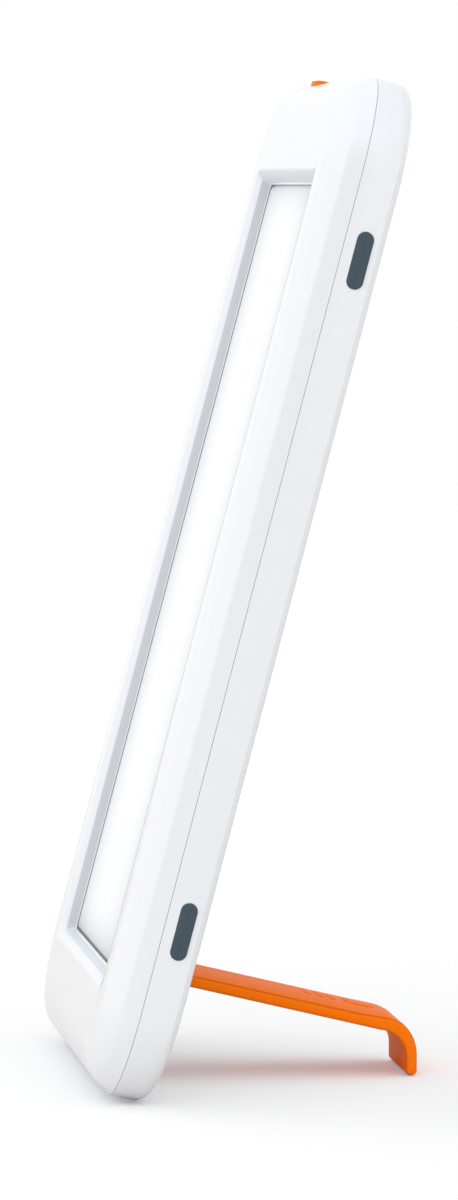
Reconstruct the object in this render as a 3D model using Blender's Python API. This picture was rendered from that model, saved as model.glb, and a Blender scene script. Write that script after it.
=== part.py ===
"""A tablet-style light therapy lamp that leans on a fold-out stand.

The casing is two moulded shells round a lit opal window. A round hub turns in the back,
and the stand folds into a channel in that hub, so the lamp can lean upright or on its
long side. Every size is in metres.

The pieces are modelled in the casing's own frame and then leaned back as one:
    x  across the lamp, seen from the front, + to the right
    y  depth, 0 at the front plane, + to the back
    z  up along the lamp, 0 at its middle
"""
import math

import bmesh
import bpy
from mathutils import Matrix, Vector

# Casing outline
BODY_WIDTH = 0.156
BODY_HEIGHT = 0.235
CORNER_RADIUS = 0.0215
CORNER_SHRINK_SHARE = 0.55
CORNER_STEPS = 8

# Clearances
GAP = 0.0003
OVERRUN = 0.001

# Front frame
WALL = 0.002
PARTING_DEPTH = 0.0081
CROWN_WIDTH = 0.0115
CROWN_DEPTH = 0.00726
CROWN_STEPS = 7
INNER_CROWN_STEPS = 4
SHOULDER_INSET = 0.001
BAND_INSET = 0.00085
BAND_END_INSET = 0.0017
BAND_TOP_DEPTH = 0.0048
CROWN_END_FALL = 0.0012
TONGUE_INSET = 0.0013
TONGUE_WIDTH = 0.001
TONGUE_LENGTH = 0.0009
RIM_WIDTH = 0.001
MARGIN_SIDE = 0.0196
MARGIN_END = 0.02305
WINDOW_CORNER = 0.003
RIDGE_ROUND = 0.00045
BEVEL_WIDTH = 0.00145
BEVEL_DEPTH = 0.00145
RECESS_WALL_WIDTH = 0.00095
RECESS_WALL_DEPTH = 0.0019
LIP_WIDTH = 0.0004
LIP_FALL = 0.0001
LIP_BACK_DEPTH = 0.0045
SEAT_WIDTH = 0.0012
SEAT_RIM_WIDTH = 0.0012
SEAT_RIM_DEPTH = 0.0078
FRONT_SKIN = 0.0012

# Rear shell
BACK_RISE = 0.0005
SIDE_DRAFT = 0.0005
CHAMFER_DEPTH = 0.0013
CHAMFER_INSET = 0.00125
END_SWEEP_LENGTH = 0.006
END_SWEEP_DEPTH = 0.0039
SWEEP_STEPS = 3
BACK_RISE_RUN = 0.008
BACK_WALL = 0.0024
INNER_EDGE_INSET = 0.0016

# Screen and light stack
SCREEN_DEPTH = 0.00365
SCREEN_GAP = 0.00045
SCREEN_EDGE_WIDTH = 0.0014
SCREEN_EDGE_FALL = 0.0005
SCREEN_FLANGE_THICKNESS = 0.0012
GUIDE_THICKNESS = 0.003
REFLECTOR_THICKNESS = 0.0006
TRAY_THICKNESS = 0.0008
LED_BOARD_THICKNESS = 0.0008
LED_BOARD_INSET = 0.0001
LED_HEIGHT = 0.0014
LED_LENGTH = 0.003
LED_STANDOUT = 0.0006
LED_PITCH = 0.0138
LED_STRIP_END = 0.004
EAR_LENGTH = 0.008
EAR_WIDTH = 0.008

# Fasteners
SCREW_HEAD_RADIUS = 0.0022
SCREW_HEAD_HEIGHT = 0.0014
SCREW_HEAD_EDGE = 0.0003
SCREW_SHANK_RADIUS = 0.001
SCREW_SLOT_WIDTH = 0.0006
SCREW_SLOT_DEPTH = 0.0006
SCREW_SIDES = 12
BOSS_WALL = 0.0013
CASE_SCREW_LENGTH = 0.0075
CASE_SCREW_SIDE_INSET = 0.0115
CASE_SCREW_END_INSET = 0.0145
CASE_SCREW_MID_INSET = 0.0095
CASE_BOSS_SKIN = 0.0022
CASE_WELL_DEPTH = 0.0065
PLATE_SCREW_END_INSET = 0.0475
PLATE_SCREW_LENGTH = 0.0065
BOARD_SCREW_LENGTH = 0.004

# Control board, its switch, the socket and the power button
BOARD_LEFT_INSET = 0.020
BOARD_RIGHT_INSET = 0.022
BOARD_BOTTOM_INSET = 0.018
BOARD_TOP_INSET = 0.0053
BOARD_DEPTH = 0.0044
BOARD_THICKNESS = 0.0012
BOARD_SCREW_END_INSET = 0.012
BOARD_SCREW_INSET = 0.0055
CHIP_SIZE = 0.007
CHIP_HEIGHT = 0.0011
CHIP_COUNT = 3
CHIP_PITCH = 0.017
BUTTON_SIDE_INSET = 0.036
BUTTON_LENGTH = 0.012
BUTTON_WIDTH = 0.0048
BUTTON_PROUD = 0.001
BUTTON_TRAVEL = 0.0007
BUTTON_CROWN = 0.0003
BUTTON_EDGE = 0.0005
BUTTON_FLANGE_TOP_INSET = 0.0032
BUTTON_FLANGE_LENGTH = 0.0142
BUTTON_FLANGE_WIDTH = 0.0036
BUTTON_FLANGE_THICKNESS = 0.0008
BUTTON_STEM_RADIUS = 0.0013
BUTTON_STEM_LENGTH = 0.0008
SWITCH_LENGTH = 0.006
SWITCH_TALL = 0.0038
SWITCH_DEPTH = 0.0042
PLUNGER_RADIUS = 0.0012
PLUNGER_PROUD = 0.0012
PLUNGER_SUNK = 0.0016
SOCKET_SIDE_INSET = 0.038
SOCKET_END_INSET = 0.0123
SOCKET_SIZE = 0.0088
SOCKET_NOSE_RADIUS = 0.0039
SOCKET_BORE_RADIUS = 0.0029
SOCKET_BORE_DEPTH = 0.0095
SOCKET_PIN_RADIUS = 0.00105
SOCKET_PIN_SUNK = 0.0007
ROUND_SIDES = 24

# Rubber feet
FOOT_LENGTH = 0.0131
SIDE_FOOT_WIDTH = 0.00385
SIDE_FOOT_PROUD = 0.0005
SIDE_FOOT_SUNK = 0.0009
SIDE_FOOT_BACK_INSET = 0.0051
SIDE_FOOT_END_INSET = 0.0408
BASE_FOOT_WIDTH = 0.0032
BASE_FOOT_PROUD = 0.0002
BASE_FOOT_SUNK = 0.0009
BASE_FOOT_SIDE_INSET = 0.038
BASE_FOOT_BACK_INSET = 0.0037
FOOT_STEPS = 6

# Hub in the back
HUB_SIDE_MARGIN = 0.0195
HUB_FLANGE_OVERLAP = 0.0018
HUB_FLANGE_THICKNESS = 0.0009
HUB_FACE = 0.0016
HUB_EDGE = 0.0003
HUB_WALL = 0.0018
HUB_FRONT_CLEARANCE = 0.00045
HUB_RUNNING_GAP = 0.0003
HUB_SIDES = 72
HUB_RIB = 0.0014
COLLAR_WIDTH = 0.0026
COLLAR_HEIGHT = 0.0037
GROOVE_DEPTH = 0.0008
RETAINER_THICKNESS = 0.0009
RETAINER_OVERLAP = 0.002
RETAINER_OPENING = math.radians(24)
STOP_ANGLE = math.radians(90)
STOP_HALF_ANGLE = math.radians(3)
STOP_PROUD = 0.0012
STOP_HEIGHT = 0.001
HUB_SWING = math.radians(90)
SECTOR_STEP = math.radians(6)

# Stand
STAND_WIDTH = 0.033
STAND_THICKNESS = 0.0036
STAND_SKIN = 0.0018
STAND_RIM = 0.0018
STAND_RIB = 0.0012
STAND_REACH = 0.063
STAND_BEND_RADIUS = 0.0095
STAND_LIP_THICKNESS = 0.0026
STAND_TILT = math.radians(1.5)
STAND_EDGE = 0.0005
STAND_TOE_RADIUS = 0.0012
TOE_STEPS = 3
STAND_POCKET_START = 0.0065
STAND_POCKET_END = 0.053
BEND_STEPS = 6
KNUCKLE_STEPS = 6
KNUCKLE_REACH = 0.0028
HINGE_SINK = 0.0028
HINGE_CORNER_WALL = 0.00185
CHANNEL_END_ROOM = 0.0022
CHANNEL_WALL = 0.0012
CHANNEL_FLOOR_WALL = 0.00105
BLOCK_CORNER_CUT = 0.0024
PIN_RADIUS = 0.0009
PIN_CLEARANCE = 0.0001
PIN_HOLD = 0.003
PIN_BOSS_RADIUS = 0.0021
WASHER_THICKNESS = 0.0005
WASHER_RADIUS = 0.0017

# Stance
LEAN = math.radians(14.78)
STANCE_Y = -0.01264

FINISHES = {
    "white_shell": ((0.86, 0.87, 0.88), 0.22, 0.0),
    "opal": ((0.93, 0.94, 0.95), 0.35, 0.0),
    "clear_guide": ((0.85, 0.88, 0.90), 0.10, 0.0),
    "white_film": ((0.90, 0.90, 0.90), 0.60, 0.0),
    "sheet_metal": ((0.62, 0.63, 0.65), 0.40, 1.0),
    "board_green": ((0.05, 0.22, 0.10), 0.50, 0.0),
    "black_plastic": ((0.03, 0.03, 0.035), 0.45, 0.0),
    "orange_plastic": ((0.93, 0.22, 0.02), 0.35, 0.0),
    "slate_rubber": ((0.075, 0.10, 0.13), 0.70, 0.0),
    "steel": ((0.60, 0.60, 0.60), 0.30, 1.0),
}

RIGHT_ANGLE = math.radians(90)
HALF_WIDTH = BODY_WIDTH / 2
HALF_HEIGHT = BODY_HEIGHT / 2
CASE_SCREW_X = HALF_WIDTH - CASE_SCREW_SIDE_INSET
CASE_SCREW_Z = HALF_HEIGHT - CASE_SCREW_END_INSET
CASE_SCREW_MID_X = HALF_WIDTH - CASE_SCREW_MID_INSET
PLATE_SCREW_Z = HALF_HEIGHT - PLATE_SCREW_END_INSET
SIDE_FOOT_Z = HALF_HEIGHT - SIDE_FOOT_END_INSET
BASE_FOOT_X = HALF_WIDTH - BASE_FOOT_SIDE_INSET
RIDGE_HALF_WIDTH = HALF_WIDTH - MARGIN_SIDE
RIDGE_HALF_HEIGHT = HALF_HEIGHT - MARGIN_END
RECESS_INSET = BEVEL_WIDTH + RECESS_WALL_WIDTH + LIP_WIDTH
SEAT_HALF_WIDTH = RIDGE_HALF_WIDTH + SEAT_WIDTH
SEAT_HALF_HEIGHT = RIDGE_HALF_HEIGHT + SEAT_WIDTH
FRONT_RIM_DEPTH = PARTING_DEPTH - GAP / 2
REAR_RIM_DEPTH = PARTING_DEPTH + GAP / 2
TONGUE_DEPTH = FRONT_RIM_DEPTH + TONGUE_LENGTH
LEDGE_DEPTH = TONGUE_DEPTH + GAP

FLANGE_FRONT = LIP_BACK_DEPTH + GAP
FLANGE_BACK = FLANGE_FRONT + SCREEN_FLANGE_THICKNESS
GUIDE_FRONT = FLANGE_BACK + GAP
GUIDE_BACK = GUIDE_FRONT + GUIDE_THICKNESS
REFLECTOR_FRONT = GUIDE_BACK + GAP
REFLECTOR_BACK = REFLECTOR_FRONT + REFLECTOR_THICKNESS
TRAY_FLOOR = REFLECTOR_BACK + GAP
TRAY_BACK = TRAY_FLOOR + TRAY_THICKNESS
KNUCKLE_RADIUS = STAND_THICKNESS / 2
HUB_FRONT_DEPTH = TRAY_BACK + HUB_FRONT_CLEARANCE
CHANNEL_FLOOR = HUB_FRONT_DEPTH + CHANNEL_FLOOR_WALL
HINGE_Y = CHANNEL_FLOOR + GAP + KNUCKLE_RADIUS
BODY_DEPTH = HINGE_Y + HINGE_SINK
REAR_EDGE_DEPTH = BODY_DEPTH - BACK_RISE
CHAMFER_START_DEPTH = REAR_EDGE_DEPTH - CHAMFER_DEPTH
REAR_FLOOR = BODY_DEPTH - BACK_WALL
SWEEP_START = REAR_EDGE_DEPTH - END_SWEEP_DEPTH
CASE_WELL_FLOOR = BODY_DEPTH - CASE_WELL_DEPTH
CASE_BOSS_DEPTH = CASE_WELL_FLOOR - CASE_BOSS_SKIN
SIDE_FOOT_DEPTH = BODY_DEPTH - SIDE_FOOT_BACK_INSET
BASE_FOOT_DEPTH = BODY_DEPTH - BASE_FOOT_BACK_INSET

TRAY_HALF_WIDTH = SEAT_HALF_WIDTH - 2 * GAP
TRAY_HALF_HEIGHT = SEAT_HALF_HEIGHT - 2 * GAP
LED_BOARD_X = TRAY_HALF_WIDTH - TRAY_THICKNESS - GAP
LED_STRIP_HALF_LENGTH = TRAY_HALF_HEIGHT - TRAY_THICKNESS - LED_STRIP_END
GUIDE_HALF_WIDTH = LED_BOARD_X - LED_BOARD_THICKNESS - LED_STANDOUT - GAP
GUIDE_HALF_HEIGHT = TRAY_HALF_HEIGHT - TRAY_THICKNESS - GAP
PLATE_SCREW_X = TRAY_HALF_WIDTH + EAR_LENGTH - EAR_WIDTH / 2

BOARD_LEFT_X = BOARD_LEFT_INSET - HALF_WIDTH
BOARD_RIGHT_X = HALF_WIDTH - BOARD_RIGHT_INSET
BOARD_BOTTOM_Z = HALF_HEIGHT - BOARD_BOTTOM_INSET
BOARD_TOP_Z = HALF_HEIGHT - BOARD_TOP_INSET
BOARD_SCREW_Z = HALF_HEIGHT - BOARD_SCREW_END_INSET
BOARD_BACK = BOARD_DEPTH + BOARD_THICKNESS
BUTTON_X = BUTTON_SIDE_INSET - HALF_WIDTH
SOCKET_X = HALF_WIDTH - SOCKET_SIDE_INSET
SOCKET_Z = HALF_HEIGHT - SOCKET_END_INSET
BUTTON_FLANGE_TOP = HALF_HEIGHT - BUTTON_FLANGE_TOP_INSET
BUTTON_STEM_Z = BUTTON_FLANGE_TOP - BUTTON_FLANGE_THICKNESS - BUTTON_STEM_LENGTH
PLUNGER_TOP = BUTTON_STEM_Z - GAP
SWITCH_TOP = PLUNGER_TOP - PLUNGER_PROUD

HUB_Z = HALF_WIDTH - HALF_HEIGHT
HUB_RADIUS = HALF_WIDTH - HUB_SIDE_MARGIN
HUB_FLANGE_RADIUS = HUB_RADIUS + HUB_FLANGE_OVERLAP
CHANNEL_HALF_WIDTH = STAND_WIDTH / 2 + GAP
CHANNEL_REACH = math.sqrt((HUB_RADIUS - HINGE_CORNER_WALL) ** 2 - CHANNEL_HALF_WIDTH ** 2)
HINGE_RADIUS_FROM_HUB = CHANNEL_REACH - KNUCKLE_RADIUS - GAP
HINGE_Z = HUB_Z - HINGE_RADIUS_FROM_HUB
CHANNEL_LOW = HINGE_Z - KNUCKLE_RADIUS - GAP
CHANNEL_HIGH = HINGE_Z + STAND_REACH + CHANNEL_END_ROOM
COLLAR_DEPTH = BODY_DEPTH - COLLAR_HEIGHT
HUB_FLANGE_FRONT = BODY_DEPTH - HUB_FLANGE_THICKNESS
COUNTERBORE_FLOOR = HUB_FLANGE_FRONT - GAP
HUB_BORE_RADIUS = HUB_RADIUS + HUB_RUNNING_GAP
COLLAR_RADIUS = HUB_BORE_RADIUS + COLLAR_WIDTH
RETAINER_OUTER_RADIUS = HUB_BORE_RADIUS + RETAINER_OVERLAP
RETAINER_BACK = COLLAR_DEPTH - GAP
RETAINER_FRONT = RETAINER_BACK - RETAINER_THICKNESS
GROOVE_RADIUS = HUB_RADIUS - GROOVE_DEPTH
STOP_FRONT = COLLAR_DEPTH + GAP
STOP_BACK = STOP_FRONT + STOP_HEIGHT

SWEEP_REACH = math.hypot(END_SWEEP_LENGTH * math.cos(LEAN), END_SWEEP_DEPTH * math.sin(LEAN))
LOWEST_POINT = (HALF_HEIGHT - END_SWEEP_LENGTH) * math.cos(LEAN) + SWEEP_START * math.sin(LEAN) + SWEEP_REACH
FLOOR_DROP = LOWEST_POINT + BASE_FOOT_PROUD


def clear_scene():
    for item in list(bpy.data.objects):
        bpy.data.objects.remove(item, do_unlink=True)


def make_finish(name):
    """One Principled material for each named finish."""
    colour, roughness, metallic = FINISHES[name]
    material = bpy.data.materials.get(name) or bpy.data.materials.new(name)
    material.use_nodes = True
    shader = material.node_tree.nodes["Principled BSDF"]
    shader.inputs["Base Color"].default_value = (*colour, 1.0)
    shader.inputs["Roughness"].default_value = roughness
    shader.inputs["Metallic"].default_value = metallic
    return material


def make_empty(name, location, parent=None, rotation=(0, 0, 0)):
    empty = bpy.data.objects.new(name, None)
    empty.location = location
    empty.rotation_euler = rotation
    empty.parent = parent
    bpy.context.scene.collection.objects.link(empty)
    return empty


def finish_object(name, bm, finish, parent, origin=(0, 0, 0), smooth_angle=math.radians(32)):
    """Turn a bmesh drawn in the casing's frame into an object with its origin at a given point."""
    bmesh.ops.translate(bm, verts=bm.verts, vec=-Vector(origin))
    bmesh.ops.recalc_face_normals(bm, faces=bm.faces)
    mesh = bpy.data.meshes.new(name)
    bm.to_mesh(mesh)
    bm.free()
    mesh.shade_smooth()
    mesh.set_sharp_from_angle(angle=smooth_angle)
    item = bpy.data.objects.new(name, mesh)
    if finish:
        mesh.materials.append(make_finish(finish))
    bpy.context.scene.collection.objects.link(item)
    item.location = origin
    item.parent = parent
    return item


def combine(target, bm, operation, name):
    """Cut a shape out of a target, or join it on, with a Boolean modifier."""
    tool = finish_object(name, bm, None, target.parent, target.location)
    tool.hide_render = True
    tool.display_type = "WIRE"
    modifier = target.modifiers.new(name, "BOOLEAN")
    modifier.operation = operation
    modifier.solver = "EXACT"
    modifier.object = tool


def ring(bm, half_width, half_height, radius_x, radius_z, depth):
    """One closed loop of vertices round a rectangle with rounded corners."""
    verts = []
    for quarter in range(4):
        side_x = 1 if quarter in (0, 3) else -1
        side_z = 1 if quarter in (0, 1) else -1
        for step in range(CORNER_STEPS + 1):
            angle = RIGHT_ANGLE * (quarter + step / CORNER_STEPS)
            x = side_x * (half_width - radius_x) + radius_x * math.cos(angle)
            z = side_z * (half_height - radius_z) + radius_z * math.sin(angle)
            verts.append(bm.verts.new((x, depth, z)))
    return verts


def casing_ring(bm, inset_x, depth, inset_z=None):
    """A loop that stands a little inside the casing's outline."""
    inset_z = inset_x if inset_z is None else inset_z
    radius_x = CORNER_RADIUS - CORNER_SHRINK_SHARE * inset_x
    radius_z = CORNER_RADIUS - CORNER_SHRINK_SHARE * inset_z
    return ring(bm, HALF_WIDTH - inset_x, HALF_HEIGHT - inset_z, radius_x, radius_z, depth)


def window_ring(bm, inset, depth):
    """A loop that stands inside the window's ridge, or outside it for a negative inset."""
    radius = WINDOW_CORNER - CORNER_SHRINK_SHARE * inset
    return ring(bm, RIDGE_HALF_WIDTH - inset, RIDGE_HALF_HEIGHT - inset, radius, radius, depth)


def skin(bm, rings, closed=False):
    """Join neighbouring loops with quads."""
    pairs = list(zip(rings, rings[1:]))
    if closed:
        pairs.append((rings[-1], rings[0]))
    for first, second in pairs:
        count = len(first)
        for index in range(count):
            following = (index + 1) % count
            bm.faces.new((first[index], first[following], second[following], second[index]))


def add_box(bm, low, high):
    low, high = Vector(low), Vector(high)
    place = Matrix.Translation((low + high) / 2) @ Matrix.Diagonal((*(high - low), 1))
    return bmesh.ops.create_cube(bm, size=1, matrix=place)["verts"]


def add_cylinder(bm, start, axis, radius, length, sides):
    """A cylinder from its start point, along its axis, for a length."""
    axis = Vector(axis)
    turn = Vector((0, 0, 1)).rotation_difference(axis).to_matrix().to_4x4()
    place = Matrix.Translation(Vector(start) + axis * length / 2) @ turn
    bmesh.ops.create_cone(
        bm, cap_ends=True, segments=sides, radius1=radius, radius2=radius, depth=length, matrix=place
    )


def add_lathe(bm, start, axis, profile, sides):
    """Revolve a profile of (radius, height) points; it may begin and end on the axis."""
    axis = Vector(axis)
    turn = Vector((0, 0, 1)).rotation_difference(axis).to_matrix()
    loops = []
    for radius, height in profile:
        if radius == 0:
            loops.append([bm.verts.new(Vector(start) + turn @ Vector((0, 0, height)))])
            continue
        loop = []
        for side in range(sides):
            angle = 4 * RIGHT_ANGLE * side / sides
            spot = Vector((radius * math.cos(angle), radius * math.sin(angle), height))
            loop.append(bm.verts.new(Vector(start) + turn @ spot))
        loops.append(loop)
    if profile[0][0] and profile[-1][0]:
        loops.append(loops[0])
    for first, second in zip(loops, loops[1:]):
        for side in range(sides):
            following = (side + 1) % sides
            if len(first) == 1:
                bm.faces.new((first[0], second[side], second[following]))
            elif len(second) == 1:
                bm.faces.new((first[side], second[0], first[following]))
            else:
                bm.faces.new((first[side], first[following], second[following], second[side]))


def add_prism(bm, points, place, start, end):
    """Extrude an outline; place turns (a, b, height) into a position."""
    low = [bm.verts.new(place(a, b, start)) for a, b in points]
    high = [bm.verts.new(place(a, b, end)) for a, b in points]
    skin(bm, [low, high])
    bm.faces.new(low)
    bm.faces.new(high)


def stadium(length, width, steps):
    """Outline points of a slot shape with round ends, long way first."""
    points = []
    straight = (length - width) / 2
    for end in (1, -1):
        for step in range(steps + 1):
            angle = 2 * RIGHT_ANGLE * step / steps - RIGHT_ANGLE
            points.append((end * (straight + math.cos(angle) * width / 2), end * math.sin(angle) * width / 2))
    return points


def add_sector(bm, inner, outer, low_angle, high_angle, front, back):
    """A piece of a ring about the hub's axis, between two angles and two depths."""
    steps = max(2, round((high_angle - low_angle) / SECTOR_STEP))
    angles = [low_angle + (high_angle - low_angle) * step / steps for step in range(steps + 1)]
    points = [(outer * math.cos(angle), outer * math.sin(angle)) for angle in angles]
    points += [(inner * math.cos(angle), inner * math.sin(angle)) for angle in reversed(angles)]
    add_prism(bm, points, lambda a, b, h: (a, h, HUB_Z + b), front, back)


def crown_points():
    """Side inset, depth and end inset of the crown's loops, from the shoulder to the flat front."""
    points = []
    start = math.asin((CROWN_WIDTH - SHOULDER_INSET) / CROWN_WIDTH)
    for step in range(CROWN_STEPS + 1):
        angle = start * (1 - step / CROWN_STEPS)
        inset = CROWN_WIDTH * (1 - math.sin(angle))
        points.append((inset, CROWN_DEPTH * (1 - math.cos(angle)), inset + CROWN_END_FALL * math.sin(angle)))
    return points


def case_screw_places():
    corners = [(x, z) for z in (CASE_SCREW_Z, -CASE_SCREW_Z) for x in (-CASE_SCREW_X, CASE_SCREW_X)]
    return corners + [(-CASE_SCREW_MID_X, 0), (CASE_SCREW_MID_X, 0)]


def plate_screw_places():
    return [(x, z) for z in (PLATE_SCREW_Z, -PLATE_SCREW_Z) for x in (-PLATE_SCREW_X, PLATE_SCREW_X)]


def board_screw_places():
    return [(x, BOARD_SCREW_Z) for x in (BOARD_LEFT_X + BOARD_SCREW_INSET, BOARD_RIGHT_X - BOARD_SCREW_INSET)]


def add_button_slot(bm):
    """The slot through the top wall that the button slides in."""
    outline = stadium(BUTTON_LENGTH + 2 * GAP, BUTTON_WIDTH + 2 * GAP, FOOT_STEPS)
    low = HALF_HEIGHT - 2 * WALL
    add_prism(bm, outline, lambda a, b, h: (BUTTON_X + a, PARTING_DEPTH + b, h), low, HALF_HEIGHT + OVERRUN)


def build_front_frame(root):
    """The front shell: a crowned border with a thin tongue behind, round a stepped window."""
    bm = bmesh.new()
    rings = [casing_ring(bm, 0, FRONT_RIM_DEPTH)]
    rings.append(casing_ring(bm, BAND_INSET, BAND_TOP_DEPTH, BAND_END_INSET))
    rings += [casing_ring(bm, inset_x, depth, inset_z) for inset_x, depth, inset_z in crown_points()]
    wall_depth = BEVEL_DEPTH + RECESS_WALL_DEPTH
    rings.append(window_ring(bm, -RIDGE_ROUND, 0))
    rings.append(window_ring(bm, RIDGE_ROUND / 2, RIDGE_ROUND / 2))
    rings.append(window_ring(bm, BEVEL_WIDTH, BEVEL_DEPTH))
    rings.append(window_ring(bm, BEVEL_WIDTH + RECESS_WALL_WIDTH, wall_depth))
    rings.append(window_ring(bm, RECESS_INSET, wall_depth + LIP_FALL))
    rings.append(window_ring(bm, RECESS_INSET, LIP_BACK_DEPTH))
    rings.append(window_ring(bm, -SEAT_WIDTH, LIP_BACK_DEPTH))
    rings.append(window_ring(bm, -SEAT_WIDTH, SEAT_RIM_DEPTH))
    rings.append(window_ring(bm, -SEAT_WIDTH - SEAT_RIM_WIDTH, SEAT_RIM_DEPTH))
    rings.append(window_ring(bm, -SEAT_WIDTH - SEAT_RIM_WIDTH - RIDGE_ROUND, WALL))
    inner_inset = TONGUE_INSET + TONGUE_WIDTH
    for step in range(INNER_CROWN_STEPS + 1):
        angle = RIGHT_ANGLE * step / INNER_CROWN_STEPS
        inset = CROWN_WIDTH - (CROWN_WIDTH - inner_inset) * math.sin(angle)
        rings.append(casing_ring(bm, inset, WALL + (FRONT_RIM_DEPTH - WALL) * (1 - math.cos(angle))))
    rings.append(casing_ring(bm, inner_inset, TONGUE_DEPTH))
    rings.append(casing_ring(bm, TONGUE_INSET, TONGUE_DEPTH))
    rings.append(casing_ring(bm, TONGUE_INSET, FRONT_RIM_DEPTH))
    skin(bm, rings, closed=True)
    frame = finish_object("front_frame", bm, "white_shell", root)

    boss_radius = SCREW_SHANK_RADIUS + GAP + BOSS_WALL
    groups = (
        (case_screw_places(), CASE_BOSS_DEPTH - GAP / 2),
        (plate_screw_places(), TRAY_FLOOR - GAP),
        (board_screw_places(), BOARD_DEPTH - GAP),
    )
    bosses = bmesh.new()
    holes = bmesh.new()
    for places, top in groups:
        for x, z in places:
            add_cylinder(bosses, (x, WALL / 2, z), (0, 1, 0), boss_radius, top - WALL / 2, SCREW_SIDES)
            pilot = SCREW_SHANK_RADIUS + GAP
            add_cylinder(
                holes, (x, FRONT_SKIN, z), (0, 1, 0), pilot, top + OVERRUN - FRONT_SKIN, SCREW_SIDES
            )
    add_button_slot(holes)
    combine(frame, bosses, "UNION", "front_bosses")
    combine(frame, holes, "DIFFERENCE", "front_holes")


def rear_outer_points():
    """Side inset, depth and end inset of the rear shell's outer loops."""
    chamfer_angle = math.asin((CHAMFER_START_DEPTH - SWEEP_START) / END_SWEEP_DEPTH)
    angles = [chamfer_angle * step / SWEEP_STEPS for step in range(SWEEP_STEPS + 1)]
    rest = RIGHT_ANGLE - chamfer_angle
    angles += [chamfer_angle + rest * (step + 1) / SWEEP_STEPS for step in range(SWEEP_STEPS)]
    points = []
    for angle in angles:
        depth = SWEEP_START + END_SWEEP_DEPTH * math.sin(angle)
        draft_share = min(1, (depth - REAR_RIM_DEPTH) / (CHAMFER_START_DEPTH - REAR_RIM_DEPTH))
        chamfer_share = max(0, depth - CHAMFER_START_DEPTH) / (REAR_EDGE_DEPTH - CHAMFER_START_DEPTH)
        inset = SIDE_DRAFT * draft_share + CHAMFER_INSET * chamfer_share
        points.append((inset, depth, END_SWEEP_LENGTH * (1 - math.cos(angle))))
    return points


def side_wall_x(depth):
    """How far out the rear shell's long side wall stands at a depth."""
    share = (depth - REAR_RIM_DEPTH) / (CHAMFER_START_DEPTH - REAR_RIM_DEPTH)
    return HALF_WIDTH - SIDE_DRAFT * share


def side_foot_place(z):
    """Place a foot's outline on the right-hand long side; height is outwards."""
    wall = side_wall_x(SIDE_FOOT_DEPTH)
    return lambda a, b, h: (wall + h, SIDE_FOOT_DEPTH + b, z + a)


def base_foot_place(x):
    """Place a foot's outline on the level it rests on; height is straight down."""
    up = Vector((0, -math.sin(LEAN), math.cos(LEAN)))
    back = Vector((0, math.cos(LEAN), math.sin(LEAN)))
    level_z = -(FLOOR_DROP - BASE_FOOT_DEPTH * math.sin(LEAN)) / math.cos(LEAN)
    centre = Vector((x, BASE_FOOT_DEPTH, level_z))
    return lambda a, b, h: centre + Vector((a, 0, 0)) + back * b - up * h


def rear_inner_rings(bm):
    """The inside of the rear shell, from the rim to the floor."""
    rings = [casing_ring(bm, RIM_WIDTH, REAR_RIM_DEPTH), casing_ring(bm, RIM_WIDTH, LEDGE_DEPTH)]
    rings.append(casing_ring(bm, WALL, LEDGE_DEPTH))
    for step in range(SWEEP_STEPS + 1):
        angle = RIGHT_ANGLE * step / SWEEP_STEPS
        grow = 1 - math.cos(angle)
        depth = SWEEP_START + (REAR_FLOOR - SWEEP_START) * math.sin(angle)
        end_inset = WALL + (END_SWEEP_LENGTH - WALL) * grow
        rings.append(casing_ring(bm, WALL + INNER_EDGE_INSET * grow, depth, end_inset))
    return rings


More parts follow.
